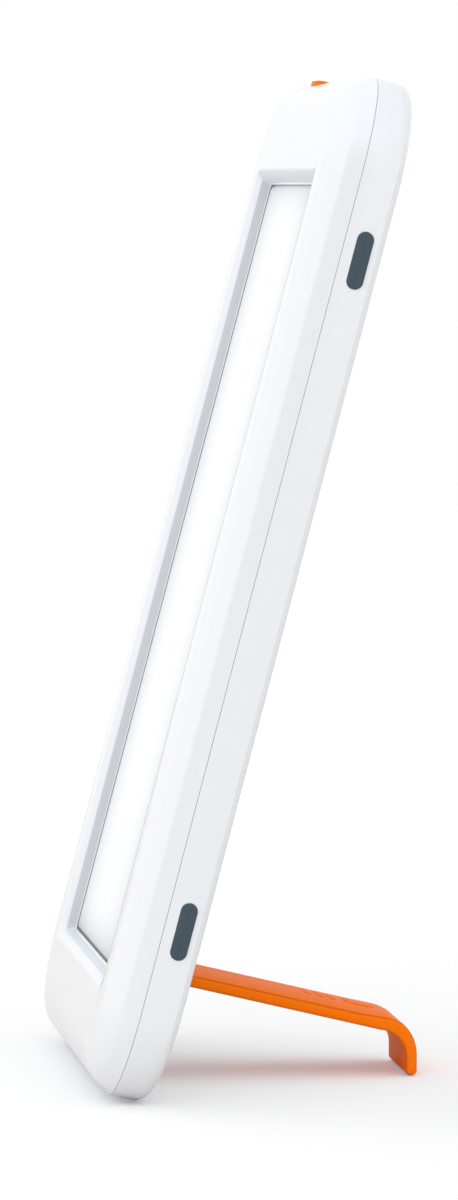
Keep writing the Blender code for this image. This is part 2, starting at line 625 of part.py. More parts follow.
def build_rear_shell(root):
    """The rear shell: a shallow tray with swept ends, chamfered sides and a seat for the hub."""
    bm = bmesh.new()
    flat_inset = SIDE_DRAFT + CHAMFER_INSET + BACK_RISE_RUN
    flat_end = END_SWEEP_LENGTH + BACK_RISE_RUN / 2
    outer = [casing_ring(bm, 0, REAR_RIM_DEPTH)]
    outer += [casing_ring(bm, inset_x, depth, inset_z) for inset_x, depth, inset_z in rear_outer_points()]
    outer.append(casing_ring(bm, flat_inset, BODY_DEPTH, flat_end))
    inner = rear_inner_rings(bm)
    skin(bm, outer)
    skin(bm, inner)
    skin(bm, [outer[0], inner[0]])
    bm.faces.new(outer[-1])
    bm.faces.new(inner[-1])
    shell = finish_object("rear_shell", bm, "white_shell", root)

    bosses = bmesh.new()
    boss_start = CASE_BOSS_DEPTH + GAP / 2
    boss_radius = SCREW_HEAD_RADIUS + GAP + BOSS_WALL
    for x, z in case_screw_places():
        add_cylinder(bosses, (x, boss_start, z), (0, 1, 0), boss_radius, REAR_FLOOR - boss_start, ROUND_SIDES)
    collar_length = REAR_FLOOR + BACK_WALL / 3 - COLLAR_DEPTH
    add_cylinder(bosses, (0, COLLAR_DEPTH, HUB_Z), (0, 1, 0), COLLAR_RADIUS, collar_length, HUB_SIDES)
    combine(shell, bosses, "UNION", "rear_bosses")

    holes = bmesh.new()
    hub_bore_length = BODY_DEPTH - COLLAR_DEPTH + 2 * OVERRUN
    add_cylinder(
        holes, (0, COLLAR_DEPTH - OVERRUN, HUB_Z), (0, 1, 0), HUB_BORE_RADIUS, hub_bore_length, HUB_SIDES
    )
    for x, z in case_screw_places():
        well = SCREW_HEAD_RADIUS + GAP
        well_length = BODY_DEPTH - CASE_WELL_FLOOR + OVERRUN
        add_cylinder(holes, (x, CASE_WELL_FLOOR, z), (0, 1, 0), well, well_length, ROUND_SIDES)
    socket_length = BODY_DEPTH - REAR_FLOOR + 2 * OVERRUN
    add_cylinder(
        holes, (SOCKET_X, REAR_FLOOR - OVERRUN, SOCKET_Z), (0, 1, 0), SOCKET_NOSE_RADIUS + GAP,
        socket_length, ROUND_SIDES
    )
    side_outline = stadium(FOOT_LENGTH + 2 * GAP, SIDE_FOOT_WIDTH + 2 * GAP, FOOT_STEPS)
    for z in (SIDE_FOOT_Z, -SIDE_FOOT_Z):
        add_prism(holes, side_outline, side_foot_place(z), -SIDE_FOOT_SUNK - GAP, OVERRUN)
    base_outline = stadium(FOOT_LENGTH + 2 * GAP, BASE_FOOT_WIDTH + 2 * GAP, FOOT_STEPS)
    for x in (BASE_FOOT_X, -BASE_FOOT_X):
        sunk = -BASE_FOOT_PROUD - BASE_FOOT_SUNK - GAP
        add_prism(holes, base_outline, base_foot_place(x), sunk, OVERRUN)
    add_button_slot(holes)
    combine(shell, holes, "DIFFERENCE", "rear_holes")

    steps = bmesh.new()
    add_cylinder(
        steps, (0, COUNTERBORE_FLOOR, HUB_Z), (0, 1, 0), HUB_FLANGE_RADIUS + HUB_RUNNING_GAP,
        BODY_DEPTH - COUNTERBORE_FLOOR + OVERRUN, HUB_SIDES
    )
    for x, z in case_screw_places():
        add_cylinder(
            steps, (x, boss_start - OVERRUN, z), (0, 1, 0), SCREW_SHANK_RADIUS + GAP,
            CASE_WELL_FLOOR - boss_start + 2 * OVERRUN, SCREW_SIDES
        )
    swing_start = STOP_ANGLE - 2 * STOP_HALF_ANGLE
    swing_end = STOP_ANGLE + HUB_SWING + 2 * STOP_HALF_ANGLE
    track_radius = HUB_RADIUS + STOP_PROUD + GAP
    track_inner = HUB_BORE_RADIUS - OVERRUN
    add_sector(
        steps, track_inner, track_radius, swing_start, swing_end, COLLAR_DEPTH - OVERRUN, STOP_BACK + GAP
    )
    combine(shell, steps, "DIFFERENCE", "rear_steps")


def build_screen(root):
    """The opal window: a soft-edged plate with a flange behind the frame's lip."""
    bm = bmesh.new()
    edge_inset = RECESS_INSET + SCREEN_GAP
    flange_inset = GAP - SEAT_WIDTH
    front = window_ring(bm, edge_inset + SCREEN_EDGE_WIDTH, SCREEN_DEPTH)
    rings = [front]
    rings.append(window_ring(bm, edge_inset + SCREEN_EDGE_WIDTH / 4, SCREEN_DEPTH + SCREEN_EDGE_FALL / 3))
    rings.append(window_ring(bm, edge_inset, SCREEN_DEPTH + SCREEN_EDGE_FALL))
    rings.append(window_ring(bm, edge_inset, FLANGE_FRONT))
    rings.append(window_ring(bm, flange_inset, FLANGE_FRONT))
    rings.append(window_ring(bm, flange_inset, FLANGE_BACK))
    skin(bm, rings)
    bm.faces.new(front)
    bm.faces.new(rings[-1])
    finish_object("diffuser_screen", bm, "opal", root)


def build_light_stack(root):
    """The clear guide, the film behind it, the metal tray and the two light strips."""
    guide = bmesh.new()
    low = (-GUIDE_HALF_WIDTH, GUIDE_FRONT, -GUIDE_HALF_HEIGHT)
    add_box(guide, low, (GUIDE_HALF_WIDTH, GUIDE_BACK, GUIDE_HALF_HEIGHT))
    finish_object("light_guide", guide, "clear_guide", root)

    film = bmesh.new()
    low = (-GUIDE_HALF_WIDTH, REFLECTOR_FRONT, -GUIDE_HALF_HEIGHT)
    add_box(film, low, (GUIDE_HALF_WIDTH, REFLECTOR_BACK, GUIDE_HALF_HEIGHT))
    finish_object("reflector_sheet", film, "white_film", root)

    tray = bmesh.new()
    outer_inset = 2 * GAP - SEAT_WIDTH
    inner_inset = outer_inset + TRAY_THICKNESS
    rings = [window_ring(tray, outer_inset, TRAY_BACK), window_ring(tray, outer_inset, GUIDE_FRONT)]
    rings += [window_ring(tray, inner_inset, GUIDE_FRONT), window_ring(tray, inner_inset, TRAY_FLOOR)]
    skin(tray, rings)
    tray.faces.new(rings[0])
    tray.faces.new(rings[-1])
    plate = finish_object("back_plate", tray, "sheet_metal", root)
    ears = bmesh.new()
    holes = bmesh.new()
    for x, z in plate_screw_places():
        side = math.copysign(1, x)
        inner_x = side * (TRAY_HALF_WIDTH - TRAY_THICKNESS / 2)
        outer_x = side * (TRAY_HALF_WIDTH + EAR_LENGTH)
        low = (min(inner_x, outer_x), TRAY_FLOOR, z - EAR_WIDTH / 2)
        add_box(ears, low, (max(inner_x, outer_x), TRAY_BACK, z + EAR_WIDTH / 2))
        hole_start = (x, TRAY_FLOOR - OVERRUN, z)
        hole_length = TRAY_THICKNESS + 2 * OVERRUN
        add_cylinder(holes, hole_start, (0, 1, 0), SCREW_SHANK_RADIUS + GAP, hole_length, SCREW_SIDES)
    combine(plate, ears, "UNION", "tray_ears")
    combine(plate, holes, "DIFFERENCE", "tray_holes")

    for name, side in (("led_strip_left", -1), ("led_strip_right", 1)):
        build_led_strip(name, side, root)


def build_led_strip(name, side, root):
    """A narrow board on the tray's side wall, with its lights facing the guide."""
    bm = bmesh.new()
    strip_front = GUIDE_FRONT + LED_BOARD_INSET
    strip_back = TRAY_FLOOR - GAP
    outer = side * LED_BOARD_X
    inner = side * (LED_BOARD_X - LED_BOARD_THICKNESS)
    low = (min(outer, inner), strip_front, -LED_STRIP_HALF_LENGTH)
    add_box(bm, low, (max(outer, inner), strip_back, LED_STRIP_HALF_LENGTH))
    strip = finish_object(name, bm, "board_green", root)
    lights = bmesh.new()
    middle = (GUIDE_FRONT + GUIDE_BACK) / 2
    count = int(LED_STRIP_HALF_LENGTH / LED_PITCH)
    for index in range(-count, count + 1):
        z = index * LED_PITCH
        face = side * (LED_BOARD_X - LED_BOARD_THICKNESS - LED_STANDOUT)
        back = side * (LED_BOARD_X - LED_BOARD_THICKNESS / 2)
        low = (min(face, back), middle - LED_HEIGHT / 2, z - LED_LENGTH / 2)
        add_box(lights, low, (max(face, back), middle + LED_HEIGHT / 2, z + LED_LENGTH / 2))
    combine(strip, lights, "UNION", name + "_lights")


def build_controls(root):
    """The control board, its side-pressed switch, the supply socket and the power button."""
    board = bmesh.new()
    add_box(board, (BOARD_LEFT_X, BOARD_DEPTH, BOARD_BOTTOM_Z), (BOARD_RIGHT_X, BOARD_BACK, BOARD_TOP_Z))
    panel = finish_object("control_board", board, "board_green", root)
    chips = bmesh.new()
    for index in range(CHIP_COUNT):
        x = (index - (CHIP_COUNT - 1) / 2) * CHIP_PITCH
        low = (x - CHIP_SIZE / 2, BOARD_BACK - BOARD_THICKNESS / 2, BOARD_SCREW_Z - CHIP_SIZE / 2)
        add_box(chips, low, (x + CHIP_SIZE / 2, BOARD_BACK + CHIP_HEIGHT, BOARD_SCREW_Z + CHIP_SIZE / 2))
    combine(panel, chips, "UNION", "board_chips")
    holes = bmesh.new()
    for x, z in board_screw_places():
        hole_start = (x, BOARD_DEPTH - OVERRUN, z)
        hole_length = BOARD_THICKNESS + 2 * OVERRUN
        add_cylinder(holes, hole_start, (0, 1, 0), SCREW_SHANK_RADIUS + GAP, hole_length, SCREW_SIDES)
    combine(panel, holes, "DIFFERENCE", "board_holes")

    switch = bmesh.new()
    low = (BUTTON_X - SWITCH_LENGTH / 2, BOARD_BACK + GAP, SWITCH_TOP - SWITCH_TALL)
    add_box(switch, low, (BUTTON_X + SWITCH_LENGTH / 2, BOARD_BACK + GAP + SWITCH_DEPTH, SWITCH_TOP))
    body = finish_object("tactile_switch", switch, "black_plastic", root)
    bore = bmesh.new()
    bore_low = (BUTTON_X, PARTING_DEPTH, SWITCH_TOP - PLUNGER_SUNK - BUTTON_TRAVEL - GAP)
    bore_length = PLUNGER_SUNK + BUTTON_TRAVEL + GAP + OVERRUN
    add_cylinder(bore, bore_low, (0, 0, 1), PLUNGER_RADIUS + GAP, bore_length, SCREW_SIDES)
    combine(body, bore, "DIFFERENCE", "switch_bore")

    plunger = bmesh.new()
    origin = (BUTTON_X, PARTING_DEPTH, PLUNGER_TOP)
    profile = [(0, 0), (PLUNGER_RADIUS, 0), (PLUNGER_RADIUS, PLUNGER_PROUD + PLUNGER_SUNK)]
    profile.append((0, PLUNGER_PROUD + PLUNGER_SUNK))
    add_lathe(plunger, origin, (0, 0, -1), profile, SCREW_SIDES)
    finish_object("switch_plunger", plunger, "black_plastic", root, origin)

    build_socket(root)
    build_power_button(root)


def build_socket(root):
    """The supply socket: a square body with a round nose, a bore and a centre pin."""
    bm = bmesh.new()
    half = SOCKET_SIZE / 2
    low = (SOCKET_X - half, BOARD_BACK + GAP, SOCKET_Z - half)
    add_box(bm, low, (SOCKET_X + half, REAR_FLOOR - GAP, SOCKET_Z + half))
    socket = finish_object("dc_socket", bm, "black_plastic", root)
    nose = bmesh.new()
    add_cylinder(
        nose, (SOCKET_X, BOARD_BACK + 2 * GAP, SOCKET_Z), (0, 1, 0), SOCKET_NOSE_RADIUS,
        REAR_EDGE_DEPTH - BOARD_BACK - 2 * GAP, ROUND_SIDES
    )
    combine(socket, nose, "UNION", "socket_nose")
    bore = bmesh.new()
    bottom = -SOCKET_BORE_DEPTH
    profile = [(SOCKET_BORE_RADIUS, OVERRUN), (SOCKET_BORE_RADIUS, bottom), (SOCKET_PIN_RADIUS, bottom)]
    profile += [(SOCKET_PIN_RADIUS, -SOCKET_PIN_SUNK), (0, -SOCKET_PIN_SUNK)]
    add_lathe(bore, (SOCKET_X, REAR_EDGE_DEPTH, SOCKET_Z), (0, 1, 0), [(0, OVERRUN)] + profile, ROUND_SIDES)
    combine(socket, bore, "DIFFERENCE", "socket_bore")


def build_power_button(root):
    """The button: a low domed cap across the parting line, on a flange and a short stem."""
    origin = (BUTTON_X, PARTING_DEPTH, HALF_HEIGHT)
    bm = bmesh.new()
    loops = []
    heights = (
        (0, BUTTON_FLANGE_TOP - BUTTON_FLANGE_THICKNESS / 2),
        (0, HALF_HEIGHT + BUTTON_PROUD - BUTTON_EDGE - BUTTON_CROWN),
        (BUTTON_EDGE / 3, HALF_HEIGHT + BUTTON_PROUD - BUTTON_CROWN - BUTTON_EDGE / 3),
        (BUTTON_EDGE, HALF_HEIGHT + BUTTON_PROUD - BUTTON_CROWN),
        (BUTTON_WIDTH / 3, HALF_HEIGHT + BUTTON_PROUD),
    )
    for inset, height in heights:
        outline = stadium(BUTTON_LENGTH - 2 * inset, BUTTON_WIDTH - 2 * inset, FOOT_STEPS)
        loops.append([bm.verts.new((BUTTON_X + a, PARTING_DEPTH + b, height)) for a, b in outline])
    skin(bm, loops)
    bm.faces.new(loops[0])
    bm.faces.new(loops[-1])
    button = finish_object("power_button", bm, "orange_plastic", root, origin)
    base = bmesh.new()
    low_z = BUTTON_FLANGE_TOP - BUTTON_FLANGE_THICKNESS
    low = (BUTTON_X - BUTTON_FLANGE_LENGTH / 2, PARTING_DEPTH - BUTTON_FLANGE_WIDTH / 2, low_z)
    high = (BUTTON_X + BUTTON_FLANGE_LENGTH / 2, PARTING_DEPTH + BUTTON_FLANGE_WIDTH / 2, BUTTON_FLANGE_TOP)
    add_box(base, low, high)
    combine(button, base, "UNION", "button_flange")
    stem = bmesh.new()
    stem_length = BUTTON_STEM_LENGTH + BUTTON_FLANGE_THICKNESS / 2
    stem_start = (BUTTON_X, PARTING_DEPTH, BUTTON_STEM_Z)
    add_cylinder(stem, stem_start, (0, 0, 1), BUTTON_STEM_RADIUS, stem_length, SCREW_SIDES)
    combine(button, stem, "UNION", "button_stem")


def build_feet(root):
    """Two rubber feet on the right-hand long side and two under the bottom end."""
    side_outline = stadium(FOOT_LENGTH, SIDE_FOOT_WIDTH, FOOT_STEPS)
    for name, z in (("side_foot_upper", SIDE_FOOT_Z), ("side_foot_lower", -SIDE_FOOT_Z)):
        bm = bmesh.new()
        add_prism(bm, side_outline, side_foot_place(z), -SIDE_FOOT_SUNK, SIDE_FOOT_PROUD)
        finish_object(name, bm, "slate_rubber", root)
    base_outline = stadium(FOOT_LENGTH, BASE_FOOT_WIDTH, FOOT_STEPS)
    for name, x in (("base_foot_left", -BASE_FOOT_X), ("base_foot_right", BASE_FOOT_X)):
        bm = bmesh.new()
        add_prism(bm, base_outline, base_foot_place(x), -BASE_FOOT_PROUD - BASE_FOOT_SUNK, 0)
        finish_object(name, bm, "slate_rubber", root)


def build_hub(swivel):
    """The hub: a flanged disc with a skirt, a retaining groove, a stop lug and the stand's channel."""
    origin = (0, BODY_DEPTH, HUB_Z)
    bm = bmesh.new()
    back = BODY_DEPTH
    inner = HUB_RADIUS - HUB_WALL
    profile = [
        (0, back),
        (HUB_FLANGE_RADIUS - HUB_EDGE, back),
        (HUB_FLANGE_RADIUS, back - HUB_EDGE),
        (HUB_FLANGE_RADIUS, HUB_FLANGE_FRONT),
        (HUB_RADIUS, HUB_FLANGE_FRONT),
        (HUB_RADIUS, COLLAR_DEPTH),
        (GROOVE_RADIUS, COLLAR_DEPTH),
        (GROOVE_RADIUS, RETAINER_FRONT - GAP),
        (HUB_RADIUS, RETAINER_FRONT - GAP),
        (HUB_RADIUS, HUB_FRONT_DEPTH),
        (inner, HUB_FRONT_DEPTH),
        (inner, back - HUB_FACE),
        (0, back - HUB_FACE),
    ]
    add_lathe(bm, (0, 0, HUB_Z), (0, 1, 0), profile, HUB_SIDES)
    hub = finish_object("swivel_hub", bm, "white_shell", swivel, origin)

    blocks = bmesh.new()
    wide = CHANNEL_HALF_WIDTH + CHANNEL_WALL
    top, bottom = CHANNEL_HIGH + CHANNEL_WALL, CHANNEL_LOW - CHANNEL_WALL
    cut = BLOCK_CORNER_CUT
    outline = [(wide, top), (-wide, top), (-wide, bottom + cut), (cut - wide, bottom)]
    outline += [(wide - cut, bottom), (wide, bottom + cut)]
    add_prism(blocks, outline, lambda a, b, h: (a, h, b), HUB_FRONT_DEPTH, back - HUB_FACE / 2)
    combine(hub, blocks, "UNION", "channel_block")
    ribs = bmesh.new()
    rib_back = back - HUB_FACE / 2
    reach = HUB_RADIUS - HUB_WALL / 2
    add_box(ribs, (-reach, HUB_FRONT_DEPTH, HUB_Z - HUB_RIB / 2), (reach, rib_back, HUB_Z + HUB_RIB / 2))
    combine(hub, ribs, "UNION", "cross_rib")
    upright = bmesh.new()
    add_box(upright, (-HUB_RIB / 2, HUB_FRONT_DEPTH, HUB_Z), (HUB_RIB / 2, rib_back, HUB_Z + reach))
    combine(hub, upright, "UNION", "upright_rib")
    pin_bosses = bmesh.new()
    for side in (-1, 1):
        inner_x = side * (CHANNEL_HALF_WIDTH + CHANNEL_WALL / 2)
        outer_x = side * (CHANNEL_HALF_WIDTH + PIN_HOLD)
        low = (min(inner_x, outer_x), HINGE_Y - PIN_BOSS_RADIUS, HINGE_Z - PIN_BOSS_RADIUS)
        add_box(pin_bosses, low, (max(inner_x, outer_x), back - HUB_FACE / 2, HINGE_Z + PIN_BOSS_RADIUS))
    combine(hub, pin_bosses, "UNION", "pin_bosses")
    lug = bmesh.new()
    lug_inner = HUB_RADIUS - HUB_WALL / 3
    low_angle, high_angle = STOP_ANGLE - STOP_HALF_ANGLE, STOP_ANGLE + STOP_HALF_ANGLE
    add_sector(lug, lug_inner, HUB_RADIUS + STOP_PROUD, low_angle, high_angle, STOP_FRONT, STOP_BACK)
    combine(hub, lug, "UNION", "stop_lug")

    channel = bmesh.new()
    low = (-CHANNEL_HALF_WIDTH, CHANNEL_FLOOR, CHANNEL_LOW)
    add_box(channel, low, (CHANNEL_HALF_WIDTH, back + OVERRUN, CHANNEL_HIGH))
    combine(hub, channel, "DIFFERENCE", "channel")
    pin_hole = bmesh.new()
    hole_half = CHANNEL_HALF_WIDTH + PIN_HOLD + OVERRUN
    hole_radius = PIN_RADIUS + PIN_CLEARANCE
    add_cylinder(pin_hole, (-hole_half, HINGE_Y, HINGE_Z), (1, 0, 0), hole_radius, 2 * hole_half, ROUND_SIDES)
    combine(hub, pin_hole, "DIFFERENCE", "hub_pin_hole")

    retainer = bmesh.new()
    open_from = -RIGHT_ANGLE - RETAINER_OPENING / 2
    open_to = open_from + RETAINER_OPENING
    inner_radius = GROOVE_RADIUS + GAP
    add_sector(
        retainer, inner_radius, RETAINER_OUTER_RADIUS, open_to, open_from + 4 * RIGHT_ANGLE,
        RETAINER_FRONT, RETAINER_BACK
    )
    finish_object("hub_retaining_ring", retainer, "steel", swivel, origin)


def stand_outline():
    """The stand's side outline as (along, up) points from the hinge, with the lip turned down."""
    half = STAND_THICKNESS / 2
    turn = RIGHT_ANGLE - LEAN + STAND_TILT
    tangent = STAND_BEND_RADIUS * math.tan(turn / 2)
    corner = Vector((STAND_REACH, half))
    centre = corner - Vector((tangent, STAND_BEND_RADIUS))
    outside = []
    inside = []
    for step in range(BEND_STEPS + 1):
        share = step / BEND_STEPS
        angle = RIGHT_ANGLE - turn * share
        normal = Vector((math.cos(angle), math.sin(angle)))
        thickness = STAND_THICKNESS + (STAND_LIP_THICKNESS - STAND_THICKNESS) * share
        outside.append(centre + normal * STAND_BEND_RADIUS)
        inside.append(centre + normal * (STAND_BEND_RADIUS - thickness))
    down = Vector((math.cos(turn), -math.sin(turn)))
    corner_z = HINGE_Z + corner.x * math.sin(STAND_TILT) + corner.y * math.cos(STAND_TILT)
    corner_y = HINGE_Y + corner.x * math.cos(STAND_TILT) - corner.y * math.sin(STAND_TILT)
    lip_length = FLOOR_DROP + corner_z * math.cos(LEAN) - corner_y * math.sin(LEAN)
    lip_left = lip_length - tangent
    toe_centre = outside[-1] + down * (lip_left - STAND_TOE_RADIUS) - normal * STAND_TOE_RADIUS
    inside.append(inside[-1] + down * lip_left)
    for step in range(TOE_STEPS + 1):
        angle = RIGHT_ANGLE * step / TOE_STEPS
        outside.append(toe_centre + (normal * math.cos(angle) + down * math.sin(angle)) * STAND_TOE_RADIUS)
    knuckle = []
    for step in range(KNUCKLE_STEPS + 1):
        angle = -RIGHT_ANGLE - 2 * RIGHT_ANGLE * step / KNUCKLE_STEPS
        knuckle.append(Vector((math.cos(angle), math.sin(angle))) * half)
    return outside + list(reversed(inside)) + knuckle


def stand_place(a, b, h):
    """Turn a point along, above and across the stand into the casing's frame."""
    along = a * math.cos(STAND_TILT) - b * math.sin(STAND_TILT)
    up = a * math.sin(STAND_TILT) + b * math.cos(STAND_TILT)
    return Vector((h, HINGE_Y + along, HINGE_Z + up))


def add_stand_box(bm, low, high):
    """A box in the stand's own directions: along, up and across."""
    outline = [(low[0], low[1]), (high[0], low[1]), (high[0], high[1]), (low[0], high[1])]
    add_prism(bm, outline, stand_place, low[2], high[2])


def build_stand(fold):
    """The stand leg: a ribbed plate from a knuckle to a turned-down lip, on its pin and washers."""
    origin = (0, HINGE_Y, HINGE_Z)
    half_width = STAND_WIDTH / 2
    bm = bmesh.new()
    outline = [tuple(point) for point in stand_outline()]
    add_prism(bm, outline, stand_place, -half_width, half_width)
    side_edges = [edge for edge in bm.edges if abs(edge.verts[0].co.x - edge.verts[1].co.x) == 0]
    bmesh.ops.bevel(
        bm, geom=side_edges, offset=STAND_EDGE, segments=2, profile=0.5, affect="EDGES", material=-1,
        clamp_overlap=True
    )
    leg = finish_object("stand_leg", bm, "orange_plastic", fold, origin)

    half = STAND_THICKNESS / 2
    cuts = bmesh.new()
    pocket_width = (STAND_WIDTH - 2 * STAND_RIM - 2 * STAND_RIB) / 3
    pocket_top = half - STAND_SKIN
    for index in range(3):
        across = -half_width + STAND_RIM + index * (pocket_width + STAND_RIB)
        low = (STAND_POCKET_START, -half - OVERRUN, across)
        add_stand_box(cuts, low, (STAND_POCKET_END, pocket_top, across + pocket_width))
    narrow = WASHER_THICKNESS + GAP
    for side in (-1, 1):
        inner = side * (half_width - narrow)
        outer = side * (half_width + OVERRUN)
        low = (-half - OVERRUN, -half - OVERRUN, min(inner, outer))
        add_stand_box(cuts, low, (KNUCKLE_REACH, half + OVERRUN, max(inner, outer)))
    combine(leg, cuts, "DIFFERENCE", "stand_pockets")
    bore = bmesh.new()
    bore_half = half_width + OVERRUN
    hole_radius = PIN_RADIUS + PIN_CLEARANCE
    add_cylinder(bore, (-bore_half, HINGE_Y, HINGE_Z), (1, 0, 0), hole_radius, 2 * bore_half, ROUND_SIDES)
    combine(leg, bore, "DIFFERENCE", "stand_pin_bore")


def build_hinge(swivel):
    """The hinge pin and the two friction washers beside the stand's knuckle."""
    origin = (0, HINGE_Y, HINGE_Z)
    pin_half = CHANNEL_HALF_WIDTH + PIN_HOLD - GAP
    pin = bmesh.new()
    add_cylinder(pin, (-pin_half, HINGE_Y, HINGE_Z), (1, 0, 0), PIN_RADIUS, 2 * pin_half, ROUND_SIDES)
    finish_object("hinge_pin", pin, "steel", swivel, origin)
    for name, side in (("hinge_washer_left", -1), ("hinge_washer_right", 1)):
        washer = bmesh.new()
        start = side * (CHANNEL_HALF_WIDTH - GAP / 2)
        hole = PIN_RADIUS + PIN_CLEARANCE
        profile = [(hole, 0), (WASHER_RADIUS, 0), (WASHER_RADIUS, WASHER_THICKNESS), (hole, WASHER_THICKNESS)]
        add_lathe(washer, (start, HINGE_Y, HINGE_Z), (-side, 0, 0), profile, ROUND_SIDES)
        finish_object(name, washer, "steel", swivel, origin)


def build_screw(name, x, under_head, z, length, root):
    """A pan-head screw driven from the back, with its slot across the head."""
    bm = bmesh.new()
    edge = SCREW_HEAD_EDGE
    profile = [
        (0, SCREW_HEAD_HEIGHT),
        (SCREW_HEAD_RADIUS - edge, SCREW_HEAD_HEIGHT),
        (SCREW_HEAD_RADIUS, SCREW_HEAD_HEIGHT - edge),
        (SCREW_HEAD_RADIUS, 0),
        (SCREW_SHANK_RADIUS, 0),
        (SCREW_SHANK_RADIUS, -length + SCREW_SHANK_RADIUS),
        (SCREW_SHANK_RADIUS / 2, -length),
        (0, -length),
    ]
    add_lathe(bm, (x, under_head, z), (0, 1, 0), profile, SCREW_SIDES)
    screw = finish_object(name, bm, "steel", root, (x, under_head, z))
    slot = bmesh.new()
    half_length = SCREW_HEAD_RADIUS + OVERRUN
    top = under_head + SCREW_HEAD_HEIGHT
    low = (x - half_length, top - SCREW_SLOT_DEPTH, z - SCREW_SLOT_WIDTH / 2)
    add_box(slot, low, (x + half_length, top + OVERRUN, z + SCREW_SLOT_WIDTH / 2))
    combine(screw, slot, "DIFFERENCE", name + "_slot")


def build_screws(root):
    """Six case screws, four for the tray and two for the board."""
    groups = (
        ("case_screw", case_screw_places(), CASE_WELL_FLOOR + GAP, CASE_SCREW_LENGTH),
        ("plate_screw", plate_screw_places(), TRAY_BACK + GAP, PLATE_SCREW_LENGTH),
        ("board_screw", board_screw_places(), BOARD_BACK + GAP, BOARD_SCREW_LENGTH),
    )
    for stem, places, under_head, length in groups:
        for index, (x, z) in enumerate(places):
            build_screw(f"{stem}_{index + 1}", x, under_head, z, length, root)


def build_lamp():
    clear_scene()
    side_foot_reach = side_wall_x(SIDE_FOOT_DEPTH) + SIDE_FOOT_PROUD
    stance_x = (HALF_WIDTH - side_foot_reach) / 2
    root = make_empty("lamp_stance", (stance_x, STANCE_Y, FLOOR_DROP), rotation=(-LEAN, 0, 0))
    build_front_frame(root)
    build_rear_shell(root)
    build_screen(root)
    build_light_stack(root)
    build_controls(root)
    build_feet(root)
    build_hub(root)
    build_hinge(root)
    build_stand(root)
    build_screws(root)


build_lamp()
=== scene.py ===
"""Looks of the tablet-style light therapy lamp: moulded shells, lit window, feet and stand.

Sizes are in metres. Pieces are drawn in the casing's own frame and then leaned back:
    x  across the lamp, y  depth from the front plane, z  up along the lamp, 0 at its middle
"""

import math

import bmesh
import bpy
from mathutils import Matrix, Vector

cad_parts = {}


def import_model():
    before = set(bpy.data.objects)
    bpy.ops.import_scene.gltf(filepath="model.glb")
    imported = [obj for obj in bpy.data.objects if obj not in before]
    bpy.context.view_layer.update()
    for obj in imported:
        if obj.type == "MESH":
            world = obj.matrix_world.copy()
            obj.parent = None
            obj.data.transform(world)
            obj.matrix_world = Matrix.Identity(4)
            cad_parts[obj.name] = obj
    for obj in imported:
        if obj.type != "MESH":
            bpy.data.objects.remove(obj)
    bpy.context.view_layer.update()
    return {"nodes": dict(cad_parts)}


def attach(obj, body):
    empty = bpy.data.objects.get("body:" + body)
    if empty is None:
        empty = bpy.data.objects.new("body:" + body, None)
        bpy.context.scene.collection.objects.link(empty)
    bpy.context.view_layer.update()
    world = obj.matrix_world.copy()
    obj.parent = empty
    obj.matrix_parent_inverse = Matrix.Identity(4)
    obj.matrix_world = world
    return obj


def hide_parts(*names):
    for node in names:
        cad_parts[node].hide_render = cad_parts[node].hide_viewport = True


RIGHT_ANGLE = math.radians(90)

# Casing
BODY_WIDTH = 0.156
BODY_HEIGHT = 0.235
CORNER_RADIUS = 0.0215
CORNER_SHRINK_SHARE = 0.55
CORNER_STEPS = 14
WALL = 0.002
GAP = 0.0003
OVERRUN = 0.001

# Front frame
PARTING_DEPTH = 0.0081
CROWN_WIDTH = 0.0115
CROWN_DEPTH = 0.00726
CROWN_STEPS = 18
SHOULDER_INSET = 0.001
BAND_INSET = 0.00085
BAND_END_INSET = 0.0017
BAND_TOP_DEPTH = 0.0048
CROWN_END_FALL = 0.0012
TONGUE_INSET = 0.0013
TONGUE_WIDTH = 0.001
TONGUE_LENGTH = 0.0009
MARGIN_SIDE = 0.0196
MARGIN_END = 0.02305
WINDOW_CORNER = 0.003
RIDGE_ROUND = 0.00045
BEVEL_WIDTH = 0.00145
BEVEL_DEPTH = 0.00145
BEVEL_STEPS = 5
BEVEL_TURN_SHARE = 0.3
RECESS_WALL_WIDTH = 0.00095
RECESS_WALL_DEPTH = 0.0019
LIP_WIDTH = 0.0004
LIP_FALL = 0.0001
LIP_BACK_DEPTH = 0.0045
SEAM_GAP = 0.00008
SEAM_ROUND = 0.0001
EDGE_STEPS = 4

# Rear shell
RIM_WIDTH = 0.001
BACK_RISE = 0.0005
BACK_RISE_RUN = 0.008
BACK_WALL = 0.0024
SIDE_DRAFT = 0.0005
CHAMFER_DEPTH = 0.0013
CHAMFER_INSET = 0.00125
END_SWEEP_LENGTH = 0.006
END_SWEEP_DEPTH = 0.0039
SWEEP_STEPS = 6
COLLAR_WIDTH = 0.0026
COLLAR_HEIGHT = 0.0037
BOSS_WALL = 0.0013
BOSS_SKIN = 0.0022
SCREW_HEAD_RADIUS = 0.0022
SCREW_SHANK_RADIUS = 0.001
SCREW_SIDE_INSET = 0.0115
SCREW_END_INSET = 0.0145
SCREW_MID_INSET = 0.0095
SCREW_WELL_DEPTH = 0.0065
SOCKET_NOSE_RADIUS = 0.0039
SOCKET_SIDE_INSET = 0.038
SOCKET_END_INSET = 0.0123
HOLE_STEPS = 48
HOLE_ROUND = 0.00012

